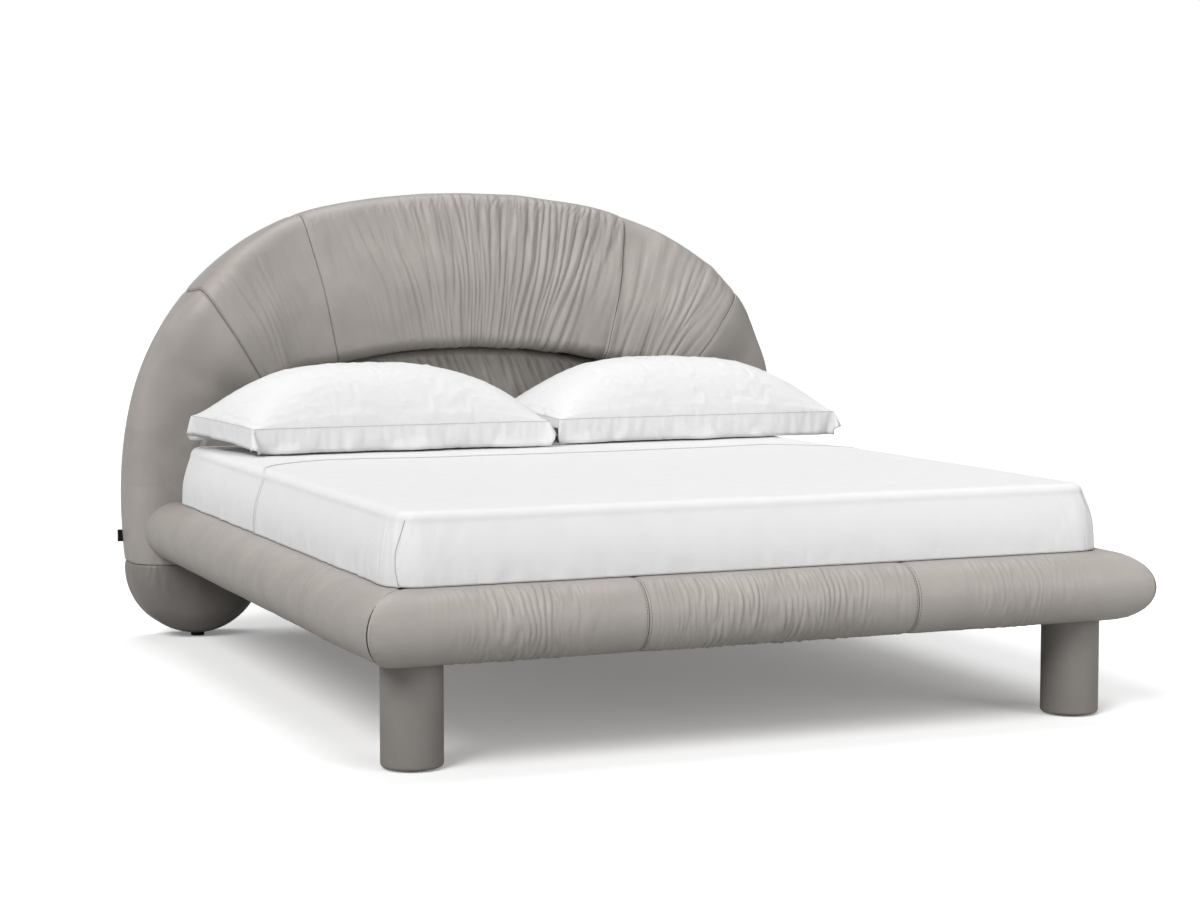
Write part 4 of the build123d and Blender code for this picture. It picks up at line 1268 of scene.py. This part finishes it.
# Mattress core with rounded edges
def mattress_piece():
    corner_radius, edge_radius = 0.06, 0.028
    bm = bmesh.new()
    bmesh.ops.create_cube(bm, size=1)
    for vert in bm.verts:
        vert.co.x *= mattress_width
        vert.co.y = vert.co.y * mattress_length + (y_mattress_foot + y_mattress_head) / 2
        vert.co.z = vert.co.z * (mattress_top - mattress_floor) + (mattress_top + mattress_floor) / 2

    def rise(edge):
        return abs(edge.verts[0].co.z - edge.verts[1].co.z)

    upright = [edge for edge in bm.edges if rise(edge) > 0.1]
    bmesh.ops.bevel(bm, geom=upright, offset=corner_radius, segments=8, affect="EDGES", profile=0.5)
    level = [edge for edge in bm.edges if rise(edge) < 0.001 and len(edge.link_faces) == 2]
    sharp = [edge for edge in level if edge.calc_face_angle(0) > 1.0]
    bmesh.ops.bevel(bm, geom=sharp, offset=edge_radius, segments=6, affect="EDGES", profile=0.5)
    mesh = bpy.data.meshes.new("mattress_core")
    bm.to_mesh(mesh)
    bm.free()
    mesh.shade_smooth()
    piece = add_object("mattress_core", mesh)
    dress(piece, ticking, "mattress")
    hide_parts("mattress")


mattress_piece()


# Pillows: a soft body and a flat flange that hangs from its seam all round
pillow_depth = 0.318
pillow_seam_height = 0.655
pillow_seam_rise = 0.022
pillow_body_rise = 0.162
pillow_belly = 0.11
pillow_waist = 0.008
flange_width = 0.068
flange_rows = 6
flange_bulge, flange_wave = 0.02, 0.006
bed_top = mattress_top + 0.0038
case_thickness = 0.0022
least_gap = 0.0015
pillow_columns, pillow_rows = 132, 58
settle_frames = 26


def crowded(count):
    """Places from -1 to 1 that stand closer together near both ends."""
    even = np.linspace(-1, 1, count)
    return 0.55 * even + 0.45 * np.sin(even * math.pi / 2)


def settled(piece, held, pressed):
    """Vertex places after the cloth has relaxed under its filling's pressure and its own weight."""
    corners = [(-1.3, -0.2), (1.3, -0.2), (1.3, 1.0), (-1.3, 1.0)]
    ground = new_object("cloth_ground", [(x, y, bed_top) for x, y in corners], [[0, 1, 2, 3]])
    ground.modifiers.new("cloth_stop", "COLLISION")
    ground.collision.thickness_outer = 0.002
    for name, weights in (("held", held), ("pressed", pressed)):
        group = piece.vertex_groups.new(name=name)
        for level in np.unique(weights):
            group.add(np.flatnonzero(weights == level).tolist(), float(level), "REPLACE")
    cloth = piece.modifiers.new("cloth_settle", "CLOTH")
    for key, value in {
        "quality": 7,
        "mass": 0.2,
        "tension_stiffness": 20,
        "compression_stiffness": 20,
        "shear_stiffness": 8,
        "bending_stiffness": 1.2,
        "vertex_group_mass": "held",
        "pin_stiffness": 2,
        "shrink_min": -0.02,
        "use_pressure": True,
        "uniform_pressure_force": 1.2,
        "vertex_group_pressure": "pressed",
    }.items():
        setattr(cloth.settings, key, value)
    cloth.collision_settings.distance_min = 0.002
    cloth.point_cache.frame_end = settle_frames
    for number in range(1, settle_frames + 1):
        bpy.context.scene.frame_set(number)
    shaped = piece.evaluated_get(bpy.context.evaluated_depsgraph_get()).data
    places = np.empty(len(shaped.vertices) * 3)
    shaped.vertices.foreach_get("co", places)
    bpy.context.scene.frame_set(1)
    bpy.data.objects.remove(ground)
    return places.reshape(-1, 3)


def strip_faces(ladder, flip=False):
    """Quads of a closed strip, from a grid of vertex numbers with one line for each step round it."""
    beside = np.roll(ladder, -1, axis=0)
    quads = np.stack([ladder[:, :-1], beside[:, :-1], beside[:, 1:], ladder[:, 1:]], axis=-1)
    if flip:
        quads = quads[..., ::-1]
    return quads.reshape(-1, 4).tolist()


def domed(place, power, fullness):
    """Height of a dome over places from -1 to 1: 1 in the middle and 0 at both ends."""
    return np.clip(1 - np.abs(place) ** power, 0, 1) ** fullness


def pillow_body(x_low, x_high, y_front, splay, crest, seed):
    """Grids of the top and the underside of a pillow, which meet at its seam."""
    u, v = crowded(pillow_columns)[:, None], crowded(pillow_rows)[None, :]
    back = (1 + v) / 2
    shifted = u - crest * (1 - u**2)
    fill = domed(shifted, power=2.9, fullness=0.82) * domed(v, power=2.6, fullness=0.62)
    low = x_low - splay * back + pillow_waist * (1 - v**2)
    high = x_high - pillow_waist * (1 - v**2)
    x = low + (high - low) * (1 + u) / 2
    pull = pillow_waist * (1 - np.abs(u) ** 2.2)
    y = y_front + pull + (pillow_depth - 2 * pull) * back
    seam = pillow_seam_height + pillow_seam_rise * back
    soft = 0.0025 * ripple(u * 3.1 + 9, v * 2.2 + 9, seed) * fill**0.5
    top = np.stack([x, y, seam + pillow_body_rise * fill + soft], axis=2)
    under_z = np.maximum(seam - pillow_belly * fill, bed_top + least_gap)
    return top, np.stack([x, y, np.minimum(under_z, seam)], axis=2)


def pillow_flange(seam_points, y_front, reaches, seed):
    """Flat flange that hangs from the seam; reaches say how far it stands out past each end."""
    ahead = np.roll(seam_points, -1, axis=0) - np.roll(seam_points, 1, axis=0)
    ways = np.stack([ahead[:, 1], -ahead[:, 0]], axis=1)
    blur_reach = 3
    blur = np.ones(2 * blur_reach + 1) / (2 * blur_reach + 1)
    for axis in (0, 1):
        wrapped = np.pad(ways[:, axis], blur_reach, mode="wrap")
        ways[:, axis] = np.convolve(wrapped, blur, "valid")
    ways /= np.linalg.norm(ways, axis=1, keepdims=True)
    run = np.concatenate([[0], np.cumsum(np.linalg.norm(np.diff(seam_points, axis=0), axis=1))])
    wave = ripple(run / 0.12, 0.5, seed)[:, None]
    share = np.linspace(0, 1, flange_rows + 1)[1:][None, :]
    ends = ease(0.45, 0.95, np.abs(ways[:, :1]))
    to_back = np.clip((seam_points[:, 1:2] - y_front) / pillow_depth, 0, 1)
    reach = np.where(ways[:, :1] < 0, reaches[0], reaches[1]) * (1 - 0.6 * to_back)
    bulge = flange_bulge * np.sin(share * 1.3) * (1 - ends)
    out = bulge + reach * share * ends + flange_wave * wave * share
    room = seam_points[:, 2:] - bed_top - least_gap - 0.002 * (1 + wave)
    hang = flange_width * (1 - ends * (0.62 - 0.32 * to_back))
    drop = np.minimum(hang * share**1.15, room * share**0.7)
    x = seam_points[:, :1] + ways[:, :1] * out
    y = seam_points[:, 1:2] + ways[:, 1:] * out
    return np.stack([x, y, seam_points[:, 2:] - drop], axis=2)


def strip_normals(strip, middle):
    """Unit normals of a closed strip of points that point away from the middle."""
    along = np.roll(strip, -1, axis=0) - np.roll(strip, 1, axis=0)
    normals = np.cross(along, np.gradient(strip, axis=1))
    normals /= np.maximum(np.linalg.norm(normals, axis=2, keepdims=True), 1e-9)
    return -normals if (normals * (strip - middle)).sum() < 0 else normals


def pillow_piece(side, x_low, x_high, y_front, splay, crest, reaches, seed):
    """A pillow whose front seam runs from x_low to x_high; splay widens its left end at the back.

    crest shifts the highest place along its length, as a share of half that length.
    """
    name, body = f"pillow_soft_{side}", f"pillow_{side}"
    top, under = pillow_body(x_low, x_high, y_front, splay, crest, seed)
    rim = boundary(pillow_columns, pillow_rows)
    skirt = pillow_flange(top.reshape(-1, 3)[rim], y_front, reaches, seed + 1)

    # The underside shares the rim's vertices, and the flange hangs from them
    count = pillow_columns * pillow_rows
    free = np.setdiff1d(np.arange(count), rim)
    under_number = np.arange(count)
    under_number[free] = count + np.arange(len(free))
    skirt_start = count + len(free)
    skirt_number = skirt_start + np.arange(len(rim) * flange_rows).reshape(-1, flange_rows)
    ladder = np.concatenate([rim[:, None], skirt_number], axis=1)
    verts = np.concatenate([top.reshape(-1, 3), under.reshape(-1, 3)[free], skirt.reshape(-1, 3)])
    body_faces = grid_faces(pillow_columns, pillow_rows, False, 0, True)
    skirt_faces = strip_faces(ladder)
    turned_faces = np.array(body_faces)[:, ::-1]
    faces = body_faces + under_number[turned_faces].tolist() + skirt_faces
    draft = new_object(name + "_draft", verts, faces)
    held = np.zeros(len(verts))
    held[:count] = 0.25
    held[rim] = 0.6
    held[count:skirt_start] = 0.4
    pressed = np.ones(len(verts))
    pressed[skirt_start:] = 0
    verts = settled(draft, held, pressed)
    bpy.data.objects.remove(draft)

    # A lining inside the flange gives it its thickness
    outer = verts[ladder]
    normals = strip_normals(outer, verts[:count].mean(axis=0))
    lining = outer - normals * case_thickness
    lining[:, 1:, 2] = np.maximum(lining[:, 1:, 2], bed_top + 0.001)
    lining_number = len(verts) + np.arange(lining[..., 0].size).reshape(lining.shape[:2])
    under_number[rim] = lining_number[:, 0]
    hem_ladder = np.stack([ladder[:, -1], lining_number[:, -1]], axis=1)
    faces = body_faces + under_number[turned_faces].tolist() + skirt_faces
    faces += strip_faces(lining_number, True) + strip_faces(hem_ladder)
    piece = new_object(name, np.concatenate([verts, lining.reshape(-1, 3)]), faces)
    face_outward(piece)
    dress(piece, cotton, body)
    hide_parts(f"pillow_{side}", f"pillowcase_{side}")
    # Stitch line round the pillow's seam; its grey is partly painted shade of the seam's crease
    seam_ring = verts[rim] + normals[:, 0] * 0.0004
    seam_line(name + "_stitches", seam_ring, 0.0005, shaded_cotton_thread, body)


pillow_piece(
    "left",
    x_low=-0.812,
    x_high=0.08,
    y_front=0.545,
    splay=0.1,
    crest=-0.1,
    reaches=(0.06, 0.03),
    seed=151,
)
pillow_piece(
    "right",
    x_low=0.137,
    x_high=1.055,
    y_front=0.598,
    splay=0.08,
    crest=-0.08,
    reaches=(0.012, 0.045),
    seed=161,
)


# Finishes of the pieces kept from the frame
for names, material in (
    ("centre_beam head_cross_rail centre_leg foot_hanger", steel),
    ("corner_plate_left corner_plate_right side_ledge_left side_ledge_right", steel),
    ("head_bracket_left head_bracket_right", steel),
    ("frame_screws leg_bolts head_bolts", zinc),
    ("slat_holders_left slat_holders_right slat_holders_centre centre_foot", plastic),
    ("leg_glide_left leg_glide_right head_glide_left head_glide_right", plastic),
    ("headboard_board foot_beam side_beam_left side_beam_right", board_wood),
    ("slats_left slats_right", slat_wood),
    # Front legs: darker leather, partly a darker finish and partly painted shade under the rails
    ("front_leg_left front_leg_right", shaded_low_leather),
    ("back_cover", leather),
    ("label_tab", tab_cloth),
):
    for name in names.split():
        paint(name, material)


# Studio: floor, backdrop, lamps and camera
floor_white = 0.92
floor_bounce = 0.45
floor_glow = 0.18


def camera_mix(tree, elsewhere, seen, output):
    """Lets the camera see one shader while all other rays meet another."""
    ray = tree.nodes.new("ShaderNodeLightPath")
    mix = tree.nodes.new("ShaderNodeMixShader")
    tree.links.new(ray.outputs["Is Camera Ray"], mix.inputs["Fac"])
    tree.links.new(elsewhere.outputs[0], mix.inputs[1])
    tree.links.new(seen.outputs[0], mix.inputs[2])
    tree.links.new(mix.outputs[0], tree.nodes[output].inputs["Surface"])


def stage_floor():
    """White floor that camera rays see lit and glowing, and that reflects less onto the bed."""
    bpy.ops.mesh.primitive_plane_add(size=60, location=(0, 0, 0))
    floor = bpy.context.object
    floor.name = "studio_floor"
    made = bpy.data.materials.new("studio_white")
    made.use_nodes = True
    tree = made.node_tree
    surface = tree.nodes["Principled BSDF"]
    surface.inputs["Base Color"].default_value = (*grey(floor_white), 1)
    surface.inputs["Roughness"].default_value = 0.9
    surface.inputs["Specular IOR Level"].default_value = 0
    glow = tree.nodes.new("ShaderNodeEmission")
    glow.inputs["Strength"].default_value = floor_glow
    lit = tree.nodes.new("ShaderNodeAddShader")
    tree.links.new(surface.outputs[0], lit.inputs[0])
    tree.links.new(glow.outputs[0], lit.inputs[1])
    dim = tree.nodes.new("ShaderNodeBsdfDiffuse")
    dim.inputs["Color"].default_value = (*grey(floor_bounce), 1)
    camera_mix(tree, dim, lit, "Material Output")
    floor.data.materials.append(made)


def lamp(name, place, target, size, power):
    light = bpy.data.lights.new(name, "AREA")
    light.size = size
    light.energy = power
    made = add_object(name, light)
    made.location = place
    made.rotation_euler = (Vector(target) - Vector(place)).to_track_quat("-Z", "Y").to_euler()


def sun(name, way, softness, strength):
    """Even light from the side that the vector points to."""
    light = bpy.data.lights.new(name, "SUN")
    light.angle = softness
    light.energy = strength
    made = add_object(name, light)
    made.location = way
    made.rotation_euler = Vector(way).to_track_quat("Z", "Y").to_euler()


def world_light(strength):
    """Dim light from all round, seen as plain white by the camera."""
    world = bpy.data.worlds.new("studio_world")
    bpy.context.scene.world = world
    world.use_nodes = True
    tree = world.node_tree
    back, seen = tree.nodes["Background"], tree.nodes.new("ShaderNodeBackground")
    for shader, level in ((back, strength), (seen, 1)):
        shader.inputs["Color"].default_value = (1, 1, 1, 1)
        shader.inputs["Strength"].default_value = level
    camera_mix(tree, back, seen, "World Output")


stage_floor()
world_light(0.3)
sun("left_sun", way=(-4.6, -3.0, 5.0), softness=0.5, strength=2.3)
sun("back_sun", way=(0.5, 1.8, 4.9), softness=0.7, strength=1.15)
lamp("right_lamp", place=(4.0, -7.0, 3.5), target=(0, 0, 0.5), size=4.0, power=190)

camera_data = bpy.data.cameras.new("photo_camera")
camera_data.lens = 76.25
camera_data.sensor_width = 36
camera = add_object("photo_camera", camera_data)
camera.location = (-2.6602, -6.3974, 1.1840)
camera.rotation_euler = (math.radians(85.289), 0, math.radians(-22.695))
bpy.context.scene.camera = camera
bpy.context.scene.view_settings.view_transform = "Standard"
